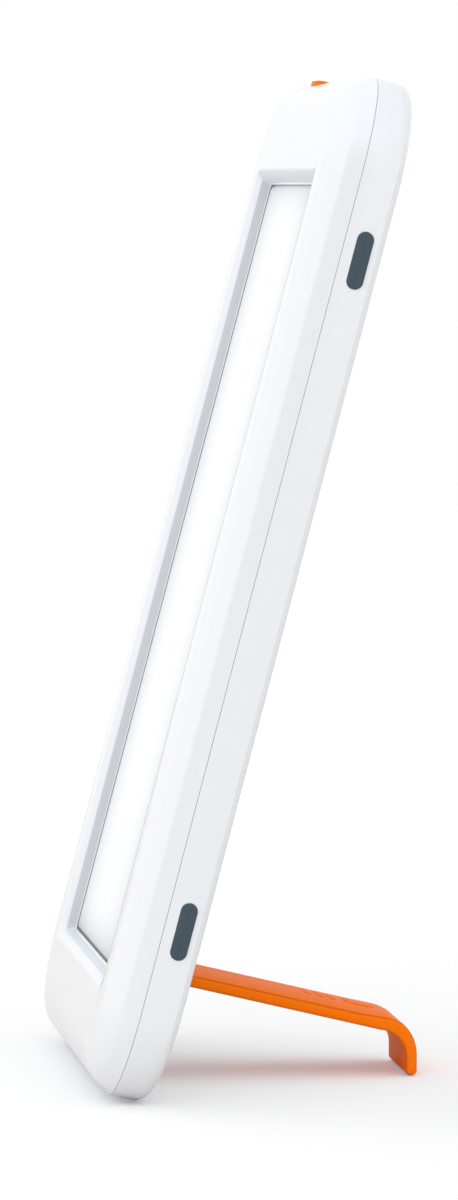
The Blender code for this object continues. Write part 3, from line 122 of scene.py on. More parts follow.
# Screen and the stack behind it
SCREEN_DEPTH = 0.00365
SCREEN_GAP = 0.00045
SCREEN_EDGE_WIDTH = 0.0014
SCREEN_EDGE_FALL = 0.0005
SCREEN_FLANGE_THICKNESS = 0.0012
SCREEN_STEPS = 6
SEAT_WIDTH = 0.0012
GLOW = 0.68
# The glow's dip towards the long sides, away from a peak a little left of the middle, is painted shade of the
# recess walls
GLOW_SIDE_SHADE_DIP = 0.23
GLOW_MIDDLE = -0.012
GLOW_REACH = 0.046
GLOW_END_POWER = 26
STACK_DEPTH = 0.0053
HUB_FRONT_CLEARANCE = 0.00045

# Power button
BUTTON_SIDE_INSET = 0.036
BUTTON_LENGTH = 0.012
BUTTON_WIDTH = 0.0048
BUTTON_PROUD = 0.0004
BUTTON_SUNK = 0.0042
BUTTON_ROUND = 0.0006
BUTTON_CROWN = 0.0003

# Rubber feet
FOOT_LENGTH = 0.0131
FOOT_SUNK = 0.0009
FOOT_ROUND_SHARE = 0.32
FOOT_DOME = 0.00042
SIDE_FOOT_WIDTH = 0.00385
SIDE_FOOT_PROUD = 0.0005
SIDE_FOOT_BACK_INSET = 0.0051
SIDE_FOOT_END_INSET = 0.0408
BASE_FOOT_WIDTH = 0.0032
BASE_FOOT_PROUD = 0.0002
BASE_FOOT_SIDE_INSET = 0.038
BASE_FOOT_BACK_INSET = 0.0037

# Hub in the back
HUB_SIDE_MARGIN = 0.0195
HUB_FLANGE_OVERLAP = 0.0018
HUB_FLANGE_THICKNESS = 0.0009
HUB_FACE = 0.0016
HUB_WALL = 0.0018
HUB_EDGE = 0.0003
HUB_STEPS = 128
CHANNEL_FLOOR_WALL = 0.00105
CHANNEL_WALL = 0.0012
CHANNEL_END_ROOM = 0.0022
HINGE_SINK = 0.0028
HINGE_CORNER_WALL = 0.00185
BLOCK_CORNER_CUT = 0.0024
PIN_RADIUS = 0.0009
PIN_CLEARANCE = 0.0001
PIN_HOLD = 0.003
PIN_BOSS_RADIUS = 0.0021
WASHER_THICKNESS = 0.0005

# Stand
STAND_WIDTH = 0.033
STAND_THICKNESS = 0.0036
STAND_REACH = 0.063
STAND_BEND_RADIUS = 0.0095
STAND_LIP_THICKNESS = 0.0026
STAND_TILT = math.radians(1.5)
STAND_EDGE = 0.001
STAND_UNDER_EDGE = 0.0008
STAND_EDGE_STEPS = 6
STAND_TOE_RADIUS = 0.0012
STAND_CAMBER = 0.0012
STAND_CAMBER_POWER = 4
STAND_CAMBER_START_RUN = 0.006
STAND_CAMBER_END_RUN = 0.012
STAND_CAMBER_STEPS = 7
PLATE_STEPS = 9
BEND_STEPS = 14
KNUCKLE_STEPS = 12
TOE_STEPS = 6
KNUCKLE_REACH = 0.0028
POCKET_SKIN = 0.0018
POCKET_RIM = 0.0018
POCKET_RIB = 0.0012
POCKET_START = 0.0065
POCKET_END = 0.053
POCKET_COUNT = 3
MARK_HEIGHT = 0.00022
MARK_WIDTH = 0.010
MARK_ROUND_SHARE = 0.9
BAR_LENGTH = 0.0015
BAR_PITCH = 0.0029
BAR_COUNT = 3
BARS_START = 0.0385
OVAL_LENGTH = 0.0074
OVAL_CENTRE = 0.0508
# Where the painted shade line along the stand's long edges runs, and how dark it is
SHADE_LINE_INSIDE = 0.0154
SHADE_LINE_OUTSIDE = 0.01605
SHADE_LINE_SHARE = 0.5

# Mesh making
LOFT_LIFT = 0.01
MERGE_REACH = 0.000002
LEVEL_REACH = 0.000003
FLAT_ANGLE = math.radians(0.05)
CREASE_ANGLE = math.radians(32)
SHARP_ANGLE = math.radians(40)
SOFT_STEPS = 2
SLOT_STEPS = 10
SLOT_FULL_SHARE = 0.995
SLOT_ROUND_STEPS = 4

# Colours, linear; each pair is what a cloudy pattern runs between
WHITE_TONES = ((0.815, 0.848, 0.888), (0.827, 0.858, 0.896))
# Painted shade round the window: greyer long recess walls, and a blue-grey end recess and top bevel
RECESS_SHADE_TONES = ((0.57, 0.61, 0.65), (0.59, 0.63, 0.67))
RECESS_END_SHADE_TONES = ((0.7, 0.75, 0.82), (0.72, 0.77, 0.84))
# Painted shade: a grey line on the lip's inner edge stands for the gap's shadow round the screen
GAP_SHADE_TONES = ((0.29, 0.31, 0.335), (0.33, 0.35, 0.375))
OPAL_TONES = ((0.2, 0.205, 0.215), (0.21, 0.215, 0.225))
GLOW_TONE = (0.97, 0.99, 1.0)
ORANGE_TONES = ((0.97, 0.185, 0.004), (0.99, 0.2, 0.006))
# A painted shade line along the stand's long edges
SHADE_LINE_TONE = (0.45, 0.07, 0.001)
RUBBER_TONES = ((0.052, 0.078, 0.1), (0.066, 0.092, 0.116))
BLACK_TONES = ((0.03, 0.03, 0.034), (0.045, 0.045, 0.05))
BOARD_TONES = ((0.02, 0.13, 0.05), (0.04, 0.19, 0.08))
STEEL_TONES = ((0.5, 0.5, 0.5), (0.62, 0.62, 0.62))
TRAY_TONES = ((0.55, 0.56, 0.58), (0.66, 0.67, 0.69))
FILM_TONES = ((0.86, 0.86, 0.86), (0.92, 0.92, 0.92))
CLEAR_TONES = ((0.82, 0.86, 0.88), (0.88, 0.91, 0.93))
BLACK = (0, 0, 0)

# Depths of the surfaces' fine relief
WHITE_RIPPLE = 0.000001
RECESS_RIPPLE = 0.000002
ORANGE_GRAIN = 0.000005
SMOOTH_GRAIN = 0.00001
MOULDED_GRAIN = 0.00002
RUBBER_PEBBLE = 0.00003

# Stance: the casing leans back, its bottom end and the stand's lip on the floor
LEAN = math.radians(14.78)
STANCE_Y = -0.01264

HALF_WIDTH = BODY_WIDTH / 2
HALF_HEIGHT = BODY_HEIGHT / 2
RIDGE_HALF_WIDTH = HALF_WIDTH - MARGIN_SIDE
RIDGE_HALF_HEIGHT = HALF_HEIGHT - MARGIN_END
WALL_FOOT_DEPTH = BEVEL_DEPTH + RECESS_WALL_DEPTH
RECESS_INSET = BEVEL_WIDTH + RECESS_WALL_WIDTH + LIP_WIDTH
FLANGE_FRONT = LIP_BACK_DEPTH + GAP
FLANGE_BACK = FLANGE_FRONT + SCREEN_FLANGE_THICKNESS
HUB_FRONT_DEPTH = FLANGE_BACK + STACK_DEPTH + HUB_FRONT_CLEARANCE
CHANNEL_FLOOR = HUB_FRONT_DEPTH + CHANNEL_FLOOR_WALL
HINGE_Y = CHANNEL_FLOOR + GAP + STAND_THICKNESS / 2
BODY_DEPTH = HINGE_Y + HINGE_SINK
REAR_EDGE_DEPTH = BODY_DEPTH - BACK_RISE
CHAMFER_START_DEPTH = REAR_EDGE_DEPTH - CHAMFER_DEPTH
REAR_FLOOR = BODY_DEPTH - BACK_WALL
SWEEP_START = REAR_EDGE_DEPTH - END_SWEEP_DEPTH
COLLAR_DEPTH = BODY_DEPTH - COLLAR_HEIGHT
HUB_FLANGE_FRONT = BODY_DEPTH - HUB_FLANGE_THICKNESS
WELL_FLOOR = BODY_DEPTH - SCREW_WELL_DEPTH
WELL_RADIUS = SCREW_HEAD_RADIUS + GAP
BOSS_START = WELL_FLOOR - BOSS_SKIN
HUB_Z = HALF_WIDTH - HALF_HEIGHT
HUB_RADIUS = HALF_WIDTH - HUB_SIDE_MARGIN
HUB_FLANGE_RADIUS = HUB_RADIUS + HUB_FLANGE_OVERLAP
CHANNEL_HALF_WIDTH = STAND_WIDTH / 2 + GAP
CORNER_FROM_HUB = math.sqrt((HUB_RADIUS - HINGE_CORNER_WALL) ** 2 - CHANNEL_HALF_WIDTH ** 2)
HINGE_Z = HUB_Z - (CORNER_FROM_HUB - STAND_THICKNESS / 2 - GAP)
CHANNEL_LOW = HINGE_Z - STAND_THICKNESS / 2 - GAP
CHANNEL_HIGH = HINGE_Z + STAND_REACH + CHANNEL_END_ROOM
BLOCK_BACK = BODY_DEPTH - HUB_FACE / 2
PIN_REACH = CHANNEL_HALF_WIDTH + PIN_HOLD
BUTTON_X = BUTTON_SIDE_INSET - HALF_WIDTH
SIDE_FOOT_Z = HALF_HEIGHT - SIDE_FOOT_END_INSET
SIDE_FOOT_DEPTH = BODY_DEPTH - SIDE_FOOT_BACK_INSET
SIDE_WALL_SHARE = (SIDE_FOOT_DEPTH - PARTING_DEPTH) / (CHAMFER_START_DEPTH - PARTING_DEPTH)
SIDE_FOOT_WALL = HALF_WIDTH - SIDE_DRAFT * SIDE_WALL_SHARE
BASE_FOOT_X = HALF_WIDTH - BASE_FOOT_SIDE_INSET
BASE_FOOT_DEPTH = BODY_DEPTH - BASE_FOOT_BACK_INSET

SWEEP_REACH = math.hypot(END_SWEEP_LENGTH * math.cos(LEAN), END_SWEEP_DEPTH * math.sin(LEAN))
LOWEST_POINT = (HALF_HEIGHT - END_SWEEP_LENGTH) * math.cos(LEAN) + SWEEP_START * math.sin(LEAN) + SWEEP_REACH
FLOOR_DROP = LOWEST_POINT + BASE_FOOT_PROUD
STANCE_X = (HALF_WIDTH - SIDE_FOOT_WALL - SIDE_FOOT_PROUD) / 2
STANCE = Matrix.Translation((STANCE_X, STANCE_Y, FLOOR_DROP)) @ Matrix.Rotation(-LEAN, 4, "X")

# Floor: its own tone is a little warm and its lift a little cool, so its shadows look cool
FLOOR_REACH = 3
FLOOR_DIP = 0.0002
FLOOR_TONE = 0.79
FLOOR_LIFT = 0.195
FLOOR_COOL = 0.035

# Light
WORLD_LIGHT = 0.7
PANEL_TURN = math.radians(63)
PANEL_RISE = math.radians(12)
PANEL_REACH = math.radians(18)
PANEL_FADE = math.radians(22)
PANEL_TONE = 0.05
KEY_TURN = math.radians(-41)
KEY_RISE = math.radians(12)
KEY_LIGHT = 1.25
KEY_SPREAD = math.radians(95)
SIDE_TURN = math.radians(88)
SIDE_RISE = math.radians(32)
SIDE_LIGHT = 0.66
SIDE_SPREAD = math.radians(55)
TOP_TURN = math.radians(165)
TOP_RISE = math.radians(60)
TOP_LIGHT = 0.26
TOP_SPREAD = math.radians(70)
FILL_TURN = math.radians(35)
FILL_RISE = math.radians(20)
FILL_LIGHT = 0.34
FILL_SPREAD = math.radians(60)

# Camera, where the photograph was taken from
LENS = 225
SENSOR = 36
CLIP_NEAR = 0.05
CLIP_FAR = 50
CAMERA_REACH = Vector((1.7223, -0.1713, 0.0876))
CAMERA_FORWARD = Vector((-0.99293, 0.10503, -0.05523))

# The front frame's finishes, in the order of its mesh's slots; all but its own white are painted shade round
# the window
FRAME_WHITE, FRAME_GAP_SHADE, FRAME_LONG_WALL_SHADE, FRAME_END_SHADE = range(4)


class Wire:
    """A node socket that can be used in Python arithmetic."""

    def __init__(self, wiring, socket):
        self.wiring = wiring
        self.socket = socket

    def _maths(self, operation, *values):
        return self.wiring.node("ShaderNodeMath", {"operation": operation}, *values)

    def __add__(self, other):
        return self._maths("ADD", self, other)

    __radd__ = __add__

    def __sub__(self, other):
        return self._maths("SUBTRACT", self, other)

    def __rsub__(self, other):
        return self._maths("SUBTRACT", other, self)

    def __mul__(self, other):
        return self._maths("MULTIPLY", self, other)

    __rmul__ = __mul__

    def __truediv__(self, other):
        return self._maths("DIVIDE", self, other)

    def __pow__(self, other):
        return self._maths("POWER", self, other)

    def __lt__(self, other):
        return self._maths("LESS_THAN", self, other)

    def __gt__(self, other):
        return self._maths("GREATER_THAN", self, other)

    def absolute(self):
        """The value without its sign."""
        return self._maths("ABSOLUTE", self)

    def at_least(self, other):
        """The larger of two values."""
        return self._maths("MAXIMUM", self, other)


class Wiring:
    """The node tree of a material or of the world."""

    def __init__(self, owner):
        owner.use_nodes = True
        self.nodes = owner.node_tree.nodes
        self.links = owner.node_tree.links

    def node(self, kind, settings, *values, output=0, **named):
        """Add a node: its settings first, then what its sockets are given, by place or by name."""
        made = self.nodes.new(kind)
        for key, value in settings.items():
            setattr(made, key, value)
        pairs = list(enumerate(values)) + [(key.replace("_", " "), value) for key, value in named.items()]
        for key, value in pairs:
            self.feed(made.inputs[key], value)
        return Wire(self, made.outputs[output])

    def feed(self, socket, value):
        """Link a wire to a socket, or set its value; a colour is given without its alpha."""
        if isinstance(value, Wire):
            self.links.new(value.socket, socket)
        elif isinstance(value, tuple):
            socket.default_value = (*value, 1)
        else:
            socket.default_value = value


class Finish(Wiring):
    """One node material for a kind of surface on the lamp."""

    def __init__(self, name, **constants):
        self.material = bpy.data.materials.new(name)
        super().__init__(self.material)
        self.shader = self.nodes["Principled BSDF"]
        for socket, value in constants.items():
            self.shader.inputs[socket.replace("_", " ")].default_value = value

    def place(self):
        """Where a point lies on the lamp."""
        return self.node("ShaderNodeTexCoord", {}, output="Object")

    def axis(self, spot, index):
        """One coordinate of a place."""
        return self.node("ShaderNodeSeparateXYZ", {}, spot, output=index)

    def grain(self, scale, detail):
        """Cloudy variation from 0 to 1; a cell is about 1 / scale metres."""
        return self.node("ShaderNodeTexNoise", {}, Vector=self.place(), Scale=scale, Detail=detail)

    def mix(self, share, low, high):
        """A colour between two colours."""
        return self.node("ShaderNodeMix", {"data_type": "RGBA"}, Factor=share, A=low, B=high, output="Result")

    def colour(self, value):
        """Give the surface its colour."""
        self.feed(self.shader.inputs["Base Color"], value)
        return self

    def glow(self, value):
        """Give the surface the colour of its own light."""
        self.feed(self.shader.inputs["Emission Color"], value)
        return self

    def rough(self, value):
        """Set how matt the surface is."""
        self.feed(self.shader.inputs["Roughness"], value)
        return self

    def bump(self, height, depth, strength):
        """Give the surface a fine relief."""
        normal = self.node("ShaderNodeBump", {}, Height=height, Distance=depth, Strength=strength)
        self.feed(self.shader.inputs["Normal"], normal)
        return self


def moulded_white():
    """Cool white glossy plastic with a faint moulding ripple and slightly uneven gloss."""
    white = Finish("moulded_white", IOR=1.55, Coat_Weight=0.5, Coat_Roughness=0.12)
    white.colour(white.mix(white.grain(24, 1), *WHITE_TONES))
    white.rough(0.26 + 0.012 * white.grain(60, 1))
    return white.bump(white.grain(900, 1), WHITE_RIPPLE, 0.05).material


def opal_screen():
    """The lit diffuser glows, brightest a little left of its middle; its dimming towards the long sides is
    painted shade of the recess walls, and it fades near its ends.
    """
    opal = Finish("opal_screen", IOR=1.45, Specular_IOR_Level=0.1, Emission_Strength=GLOW)
    spot = opal.place()
    across = (opal.axis(spot, 0) - GLOW_MIDDLE) / GLOW_REACH
    along = (opal.axis(spot, 2) - FLOOR_DROP) / (RIDGE_HALF_HEIGHT * math.cos(LEAN))
    # Painted shade: the glow dims towards the long sides, as if the recess walls shaded the screen
    light = 1 - GLOW_SIDE_SHADE_DIP + GLOW_SIDE_SHADE_DIP * (1 - across.absolute() ** 2).at_least(0)
    light = light * (1 - along.absolute() ** GLOW_END_POWER).at_least(0)
    light = light * (0.985 + 0.03 * opal.grain(60, 2))
    opal.colour(opal.mix(opal.grain(45, 2), *OPAL_TONES))
    opal.rough(0.34 + 0.05 * opal.grain(200, 3))
    return opal.glow(opal.mix(light, BLACK, GLOW_TONE)).material


def moulded_orange():
    """Satin orange plastic with a fine moulded grain, and a painted shade line near the stand's long edges.
    """
    orange = Finish("moulded_orange", IOR=1.45, Specular_IOR_Level=0.02)
    across = (orange.axis(orange.place(), 0) - STANCE_X).absolute()
    # Painted shade: a darker line along the stand's long edges, where the round-over turns from the top
    edge_shade = (across > SHADE_LINE_INSIDE) * (across < SHADE_LINE_OUTSIDE) * SHADE_LINE_SHARE
    orange.colour(orange.mix(edge_shade, orange.mix(orange.grain(90, 3), *ORANGE_TONES), SHADE_LINE_TONE))
    orange.rough(0.4 + 0.05 * orange.grain(300, 2))
    return orange.bump(orange.grain(1200, 2), ORANGE_GRAIN, 0.1).material


def slate_rubber():
    """Dark blue-grey rubber, matt, with a fine pebble and paler dust in it."""
    rubber = Finish("slate_rubber", IOR=1.45, Specular_IOR_Level=0.3)
    rubber.colour(rubber.mix(rubber.grain(900, 4), *RUBBER_TONES))
    rubber.rough(0.62 + 0.15 * rubber.grain(700, 3))
    return rubber.bump(rubber.grain(2600, 2), RUBBER_PEBBLE, 0.3).material


def plain_finish(name, tones, roughness, metallic, scale, depth):
    """A hidden or small piece's finish: two near colours clouded together, with a fine grain."""
    finish = Finish(name, Metallic=metallic)
    finish.colour(finish.mix(finish.grain(scale, 3), *tones))
    finish.rough(roughness + 0.1 * finish.grain(scale * 4, 3))
    return finish.bump(finish.grain(scale * 6, 2), depth, 0.3).material


def pale_floor():
    """Matt floor that only the camera sees lifted to white."""
    pale = Finish("pale_floor", Roughness=1, Specular_IOR_Level=0, Emission_Strength=1)
    pale.colour((FLOOR_TONE + FLOOR_COOL, FLOOR_TONE, FLOOR_TONE - FLOOR_COOL / 2))
    seen = pale.node("ShaderNodeLightPath", {}, output="Is Camera Ray")
    lift = (FLOOR_LIFT - FLOOR_COOL, FLOOR_LIFT, FLOOR_LIFT + FLOOR_COOL / 2)
    return pale.glow(pale.mix(seen, BLACK, lift)).material


def rounded_ring(bm, half_width, half_height, radius, depth):
    """The edge loop of a rounded rectangle at a depth in the casing's frame."""
    corners = bmesh.ops.create_grid(bm, x_segments=1, y_segments=1, size=1)["verts"]
    for corner in corners:
        x, z = math.copysign(half_width, corner.co.x), math.copysign(half_height, corner.co.y)
        corner.co = Vector((x, depth, z))
    made = bmesh.ops.bevel(
        bm, geom=corners, offset=radius, segments=CORNER_STEPS, profile=0.5, affect="VERTICES", material=-1
    )
    face = made["verts"][0].link_faces[0]
    edges = list(face.edges)
    bmesh.ops.delete(bm, geom=[face], context="FACES_ONLY")
    return edges


def shell_ring(bm, inset_x, depth, inset_z=None):
    """An edge loop a little inside the casing's outline."""
    inset_z = inset_x if inset_z is None else inset_z
    radius = CORNER_RADIUS - CORNER_SHRINK_SHARE * (inset_x + inset_z) / 2
    return rounded_ring(bm, HALF_WIDTH - inset_x, HALF_HEIGHT - inset_z, radius, depth)


def window_ring(bm, inset, depth):
    """An edge loop inside the window's ridge, or outside it for a negative inset."""
    radius = WINDOW_CORNER - CORNER_SHRINK_SHARE * inset
    return rounded_ring(bm, RIDGE_HALF_WIDTH - inset, RIDGE_HALF_HEIGHT - inset, radius, depth)


def seam_rings(bm, seam, way):
    """Edge loops that round a shell's outer edge over at the seam, forwards (-1) or backwards (1)."""
    rings = []
    for step in range(EDGE_STEPS + 1):
        angle = RIGHT_ANGLE * step / EDGE_STEPS
        inset, rise = SEAM_ROUND * (1 - math.sin(angle)), SEAM_ROUND * (1 - math.cos(angle))
        rings.append(shell_ring(bm, inset, seam + way * rise))
    return rings


def bridge(bm, rings, closed=False):
    """Skin neighbouring edge loops; one is lifted meanwhile, so that two at one depth pair up too."""
    pairs = list(zip(rings, rings[1:]))
    if closed:
        pairs.append((rings[-1], rings[0]))
    for first, second in pairs:
        verts = list({vert for edge in second for vert in edge.verts})
        bmesh.ops.translate(bm, verts=verts, vec=(0, LOFT_LIFT, 0))
        bmesh.ops.bridge_loops(bm, edges=first + second)
        bmesh.ops.translate(bm, verts=verts, vec=(0, -LOFT_LIFT, 0))


def cap(bm, ring):
    """Close an edge loop with one face."""
    bmesh.ops.contextual_create(bm, geom=ring)


def block(bm, low, high):
    """Add a box between two corners."""
    low, high = Vector(low), Vector(high)
    place = Matrix.Translation((low + high) / 2) @ Matrix.Diagonal((*(high - low), 1))
    bmesh.ops.create_cube(bm, size=1, matrix=place)


def rod(bm, start, axis, radius, length, steps=HOLE_STEPS):
    """Add a round bar from a point along an axis."""
    axis = Vector(axis)
    turn = Vector((0, 0, 1)).rotation_difference(axis).to_matrix().to_4x4()
    place = Matrix.Translation(Vector(start) + axis * length / 2) @ turn
    bmesh.ops.create_cone(
        bm, cap_ends=True, segments=steps, radius1=radius, radius2=radius, depth=length, matrix=place
    )


def turned(bm, profile, centre, axis, steps):
    """Spin a profile of (radius, height) points about an axis through a centre."""
    centre, axis = Vector(centre), Vector(axis)
    turn = Vector((0, 0, 1)).rotation_difference(axis).to_matrix()
    verts = [bm.verts.new(centre + turn @ Vector((radius, 0, height))) for radius, height in profile]
    edges = [bm.edges.new(pair) for pair in zip(verts, verts[1:])]
    bmesh.ops.spin(
        bm, geom=verts + edges, cent=centre, axis=axis, dvec=(0, 0, 0), angle=4 * RIGHT_ANGLE, steps=steps,
        use_merge=True, use_normal_flip=False, use_duplicate=False
    )
    bmesh.ops.remove_doubles(bm, verts=bm.verts, dist=MERGE_REACH)


def slot_shape(bm, length, width, thickness, round_over=0):
    """A bar with round ends along x, its top at z = 0; a rounded top is fanned out, to shade evenly."""
    middle = bmesh.ops.create_grid(bm, x_segments=1, y_segments=1, size=1)["verts"]
    for corner in middle:
        x, y = math.copysign(length / 2, corner.co.x), math.copysign(width / 2, corner.co.y)
        corner.co = Vector((x, y, -thickness))
    made = bmesh.ops.bevel(
        bm, geom=middle, offset=width / 2 * SLOT_FULL_SHARE, segments=SLOT_STEPS, profile=0.5,
        affect="VERTICES", material=-1
    )
    face = made["verts"][0].link_faces[0]
    grown = bmesh.ops.extrude_face_region(bm, geom=[face], use_keep_orig=True)
    verts = [item for item in grown["geom"] if isinstance(item, bmesh.types.BMVert)]
    top = next(item for item in grown["geom"] if isinstance(item, bmesh.types.BMFace))
    bmesh.ops.translate(bm, verts=verts, vec=(0, 0, thickness))
    if round_over:
        bmesh.ops.bevel(
            bm, geom=list(top.edges), offset=round_over, segments=SLOT_ROUND_STEPS, profile=0.5,
            affect="EDGES", material=-1
        )
        level = [face for face in bm.faces if min(vert.co.z for vert in face.verts) > -LEVEL_REACH]
        bmesh.ops.poke(bm, faces=[max(level, key=lambda face: face.calc_area())])
    return bm


def placed(bm, place):
    """Move a whole shape by a matrix."""
    bm.transform(place)
    return bm


def carved(bm, tools):
    """Cut shapes out of a piece, or join them on, one (operation, shape) pair after the other."""
    used = []
    for operation, tool in [(None, bm)] + tools:
        mesh = bpy.data.meshes.new("blank")
        bmesh.ops.recalc_face_normals(tool, faces=tool.faces)
        tool.to_mesh(mesh)
        tool.free()
        blank = bpy.data.objects.new("blank", mesh)
        bpy.context.scene.collection.objects.link(blank)
        if operation:
            modifier = used[0].modifiers.new("carve", "BOOLEAN")
            modifier.operation = operation
            modifier.solver = "EXACT"
            modifier.object = blank
        used.append(blank)
    made = bmesh.new()
    made.from_object(used[0], bpy.context.evaluated_depsgraph_get())
    for item in used:
        mesh = item.data
        bpy.data.objects.remove(item)
        bpy.data.meshes.remove(mesh)
    bmesh.ops.remove_doubles(made, verts=made.verts, dist=MERGE_REACH)
    bmesh.ops.dissolve_limit(made, angle_limit=FLAT_ANGLE, verts=made.verts, edges=made.edges)
    return made


def soften(bm, width, near):
    """Round over the sharp edges that a test of their middle picks."""
    edges = []
    for edge in bm.edges:
        middle = (edge.verts[0].co + edge.verts[1].co) / 2
        if edge.is_manifold and edge.calc_face_angle(0) > SHARP_ANGLE and near(middle):
            edges.append(edge)
    bmesh.ops.bevel(
        bm, geom=edges, offset=width, segments=SOFT_STEPS, profile=0.5, affect="EDGES", material=-1,
        clamp_overlap=False
    )


def finished(name, bm, material, body, replaces, painted_shade_finishes=()):
    """Lean a shape back with the casing and make it a piece that rides on a body."""
    bm.transform(STANCE)
    bmesh.ops.recalc_face_normals(bm, faces=bm.faces)
    mesh = bpy.data.meshes.new(name)
    bm.to_mesh(mesh)
    bm.free()
    mesh.shade_smooth()
    mesh.set_sharp_from_angle(angle=CREASE_ANGLE)
    for each in (material, *painted_shade_finishes):
        mesh.materials.append(each)
    piece = bpy.data.objects.new(name, mesh)
    bpy.context.scene.collection.objects.link(piece)
    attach(piece, body)
    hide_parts(replaces)


def button_slot():
    """The slot through the top wall, across the seam."""
    slot = bmesh.new()
    slot_shape(slot, BUTTON_LENGTH + 2 * GAP, BUTTON_WIDTH + 2 * GAP, 2 * BUTTON_SUNK)
    return placed(slot, Matrix.Translation((BUTTON_X, PARTING_DEPTH, HALF_HEIGHT + OVERRUN)))


def near_button(spot):
    """Whether a spot is at the mouth of the button's slot."""
    reach = BUTTON_LENGTH / 2 + 2 * GAP
    beside = abs(spot.x - BUTTON_X) < reach and abs(spot.y - PARTING_DEPTH) < reach
    return beside and spot.z > HALF_HEIGHT - OVERRUN


def frame_finish(spot):
    """Which finish the front frame has at a spot: its own white, or one of the painted shades round the
    window.
    """
    across, along = RIDGE_HALF_WIDTH - abs(spot.x), RIDGE_HALF_HEIGHT - abs(spot.z)
    inset = min(across, along)
    # Painted shade: the lip's inner edge, grey for the gap's shadow round the screen
    if inset > RECESS_INSET - GAP / 8 and WALL_FOOT_DEPTH + 2 * LIP_FALL < spot.y < LIP_BACK_DEPTH:
        return FRAME_GAP_SHADE
    # Painted shade on the recess walls: greyer on the long sides, blue-grey at the ends
    if BEVEL_WIDTH < inset and BEVEL_DEPTH < spot.y < WALL_FOOT_DEPTH:
        return FRAME_LONG_WALL_SHADE if across < along else FRAME_END_SHADE
    # Painted shade: the top end's bevel, blue-grey like the end walls
    if GAP < along < across and spot.z > 0 and spot.y < WALL_FOOT_DEPTH:
        return FRAME_END_SHADE
    return FRAME_WHITE


def crown_points():
    """Side inset, depth and end inset of the crown's loops, from the shoulder to the flat front."""
    points = []
    start = math.asin((CROWN_WIDTH - SHOULDER_INSET) / CROWN_WIDTH)
    for step in range(CROWN_STEPS + 1):
        angle = start * (1 - step / CROWN_STEPS)
        inset = CROWN_WIDTH * (1 - math.sin(angle))
        points.append((inset, CROWN_DEPTH * (1 - math.cos(angle)), inset + CROWN_END_FALL * math.sin(angle)))
    return points


def window_rings(bm):
    """Loops from the window's ridge, which keeps a fine raised line, down to the back of the lip."""
    rings = [
        window_ring(bm, -RIDGE_ROUND, 0), window_ring(bm, -RIDGE_ROUND / 4, RIDGE_ROUND / 8),
        window_ring(bm, RIDGE_ROUND / 2, RIDGE_ROUND / 2)
    ]
    for step in range(BEVEL_STEPS + 1):
        share = step / BEVEL_STEPS
        inset = BEVEL_WIDTH * (share * (1 + BEVEL_TURN_SHARE) - share * share * BEVEL_TURN_SHARE)
        rings.append(window_ring(bm, inset, BEVEL_DEPTH * share))
    rings.append(window_ring(bm, BEVEL_WIDTH + RECESS_WALL_WIDTH, WALL_FOOT_DEPTH))
    rings.append(window_ring(bm, RECESS_INSET - GAP / 4, WALL_FOOT_DEPTH + LIP_FALL))
    rings.append(window_ring(bm, RECESS_INSET, WALL_FOOT_DEPTH + 2 * LIP_FALL))
    rings.append(window_ring(bm, RECESS_INSET, LIP_BACK_DEPTH))
    rings.append(window_ring(bm, -RIDGE_ROUND, LIP_BACK_DEPTH))
    return rings


def front_frame():
    """The crowned border, its band, the window's bevel, the recess wall and the lip."""
    bm = bmesh.new()
    seam = PARTING_DEPTH - SEAM_GAP / 2
    tongue_back = PARTING_DEPTH + TONGUE_LENGTH
    rings = [
        shell_ring(bm, TONGUE_INSET + TONGUE_WIDTH, tongue_back), shell_ring(bm, TONGUE_INSET, tongue_back),
        shell_ring(bm, TONGUE_INSET, seam), *seam_rings(bm, seam, -1)
    ]
    rings.append(shell_ring(bm, BAND_INSET, BAND_TOP_DEPTH, BAND_END_INSET))
    rings += [shell_ring(bm, inset_x, depth, inset_z) for inset_x, depth, inset_z in crown_points()]
    rings += window_rings(bm)
    rings.append(shell_ring(bm, CROWN_WIDTH, LIP_BACK_DEPTH))
    bridge(bm, rings, closed=True)
    bm = carved(bm, [("DIFFERENCE", button_slot())])
    soften(bm, HOLE_ROUND, near_button)
    for face in bm.faces:
        face.material_index = frame_finish(face.calc_center_median())
    return bm


def rear_outer_points():
    """Side inset, depth and end inset of the rear shell's outer loops."""
    chamfer_angle = math.asin((CHAMFER_START_DEPTH - SWEEP_START) / END_SWEEP_DEPTH)
    angles = [chamfer_angle * step / SWEEP_STEPS for step in range(SWEEP_STEPS + 1)]
    rest = RIGHT_ANGLE - chamfer_angle
    angles += [chamfer_angle + rest * (step + 1) / SWEEP_STEPS for step in range(SWEEP_STEPS)]
    points = []
    for angle in angles:
        depth = SWEEP_START + END_SWEEP_DEPTH * math.sin(angle)
        draft_share = min(1, (depth - PARTING_DEPTH) / (CHAMFER_START_DEPTH - PARTING_DEPTH))
        chamfer_share = max(0, depth - CHAMFER_START_DEPTH) / (REAR_EDGE_DEPTH - CHAMFER_START_DEPTH)
        inset = SIDE_DRAFT * draft_share + CHAMFER_INSET * chamfer_share
        points.append((inset, depth, END_SWEEP_LENGTH * (1 - math.cos(angle))))
    return points


def side_foot_place(z):
    """Where a foot's top lies on the right-hand long side, its length along the lamp."""
    turn = Matrix(((0, 0, 1), (0, 1, 0), (1, 0, 0))).to_4x4()
    return Matrix.Translation((SIDE_FOOT_WALL + SIDE_FOOT_PROUD, SIDE_FOOT_DEPTH, z)) @ turn


def base_foot_place(x):
    """Where a foot's tread lies under the bottom end: level with the floor when the lamp leans."""
    level_z = -(FLOOR_DROP - BASE_FOOT_DEPTH * math.sin(LEAN)) / math.cos(LEAN)
    return Matrix.Translation((x, BASE_FOOT_DEPTH, level_z)) @ Matrix.Rotation(2 * RIGHT_ANGLE + LEAN, 4, "X")


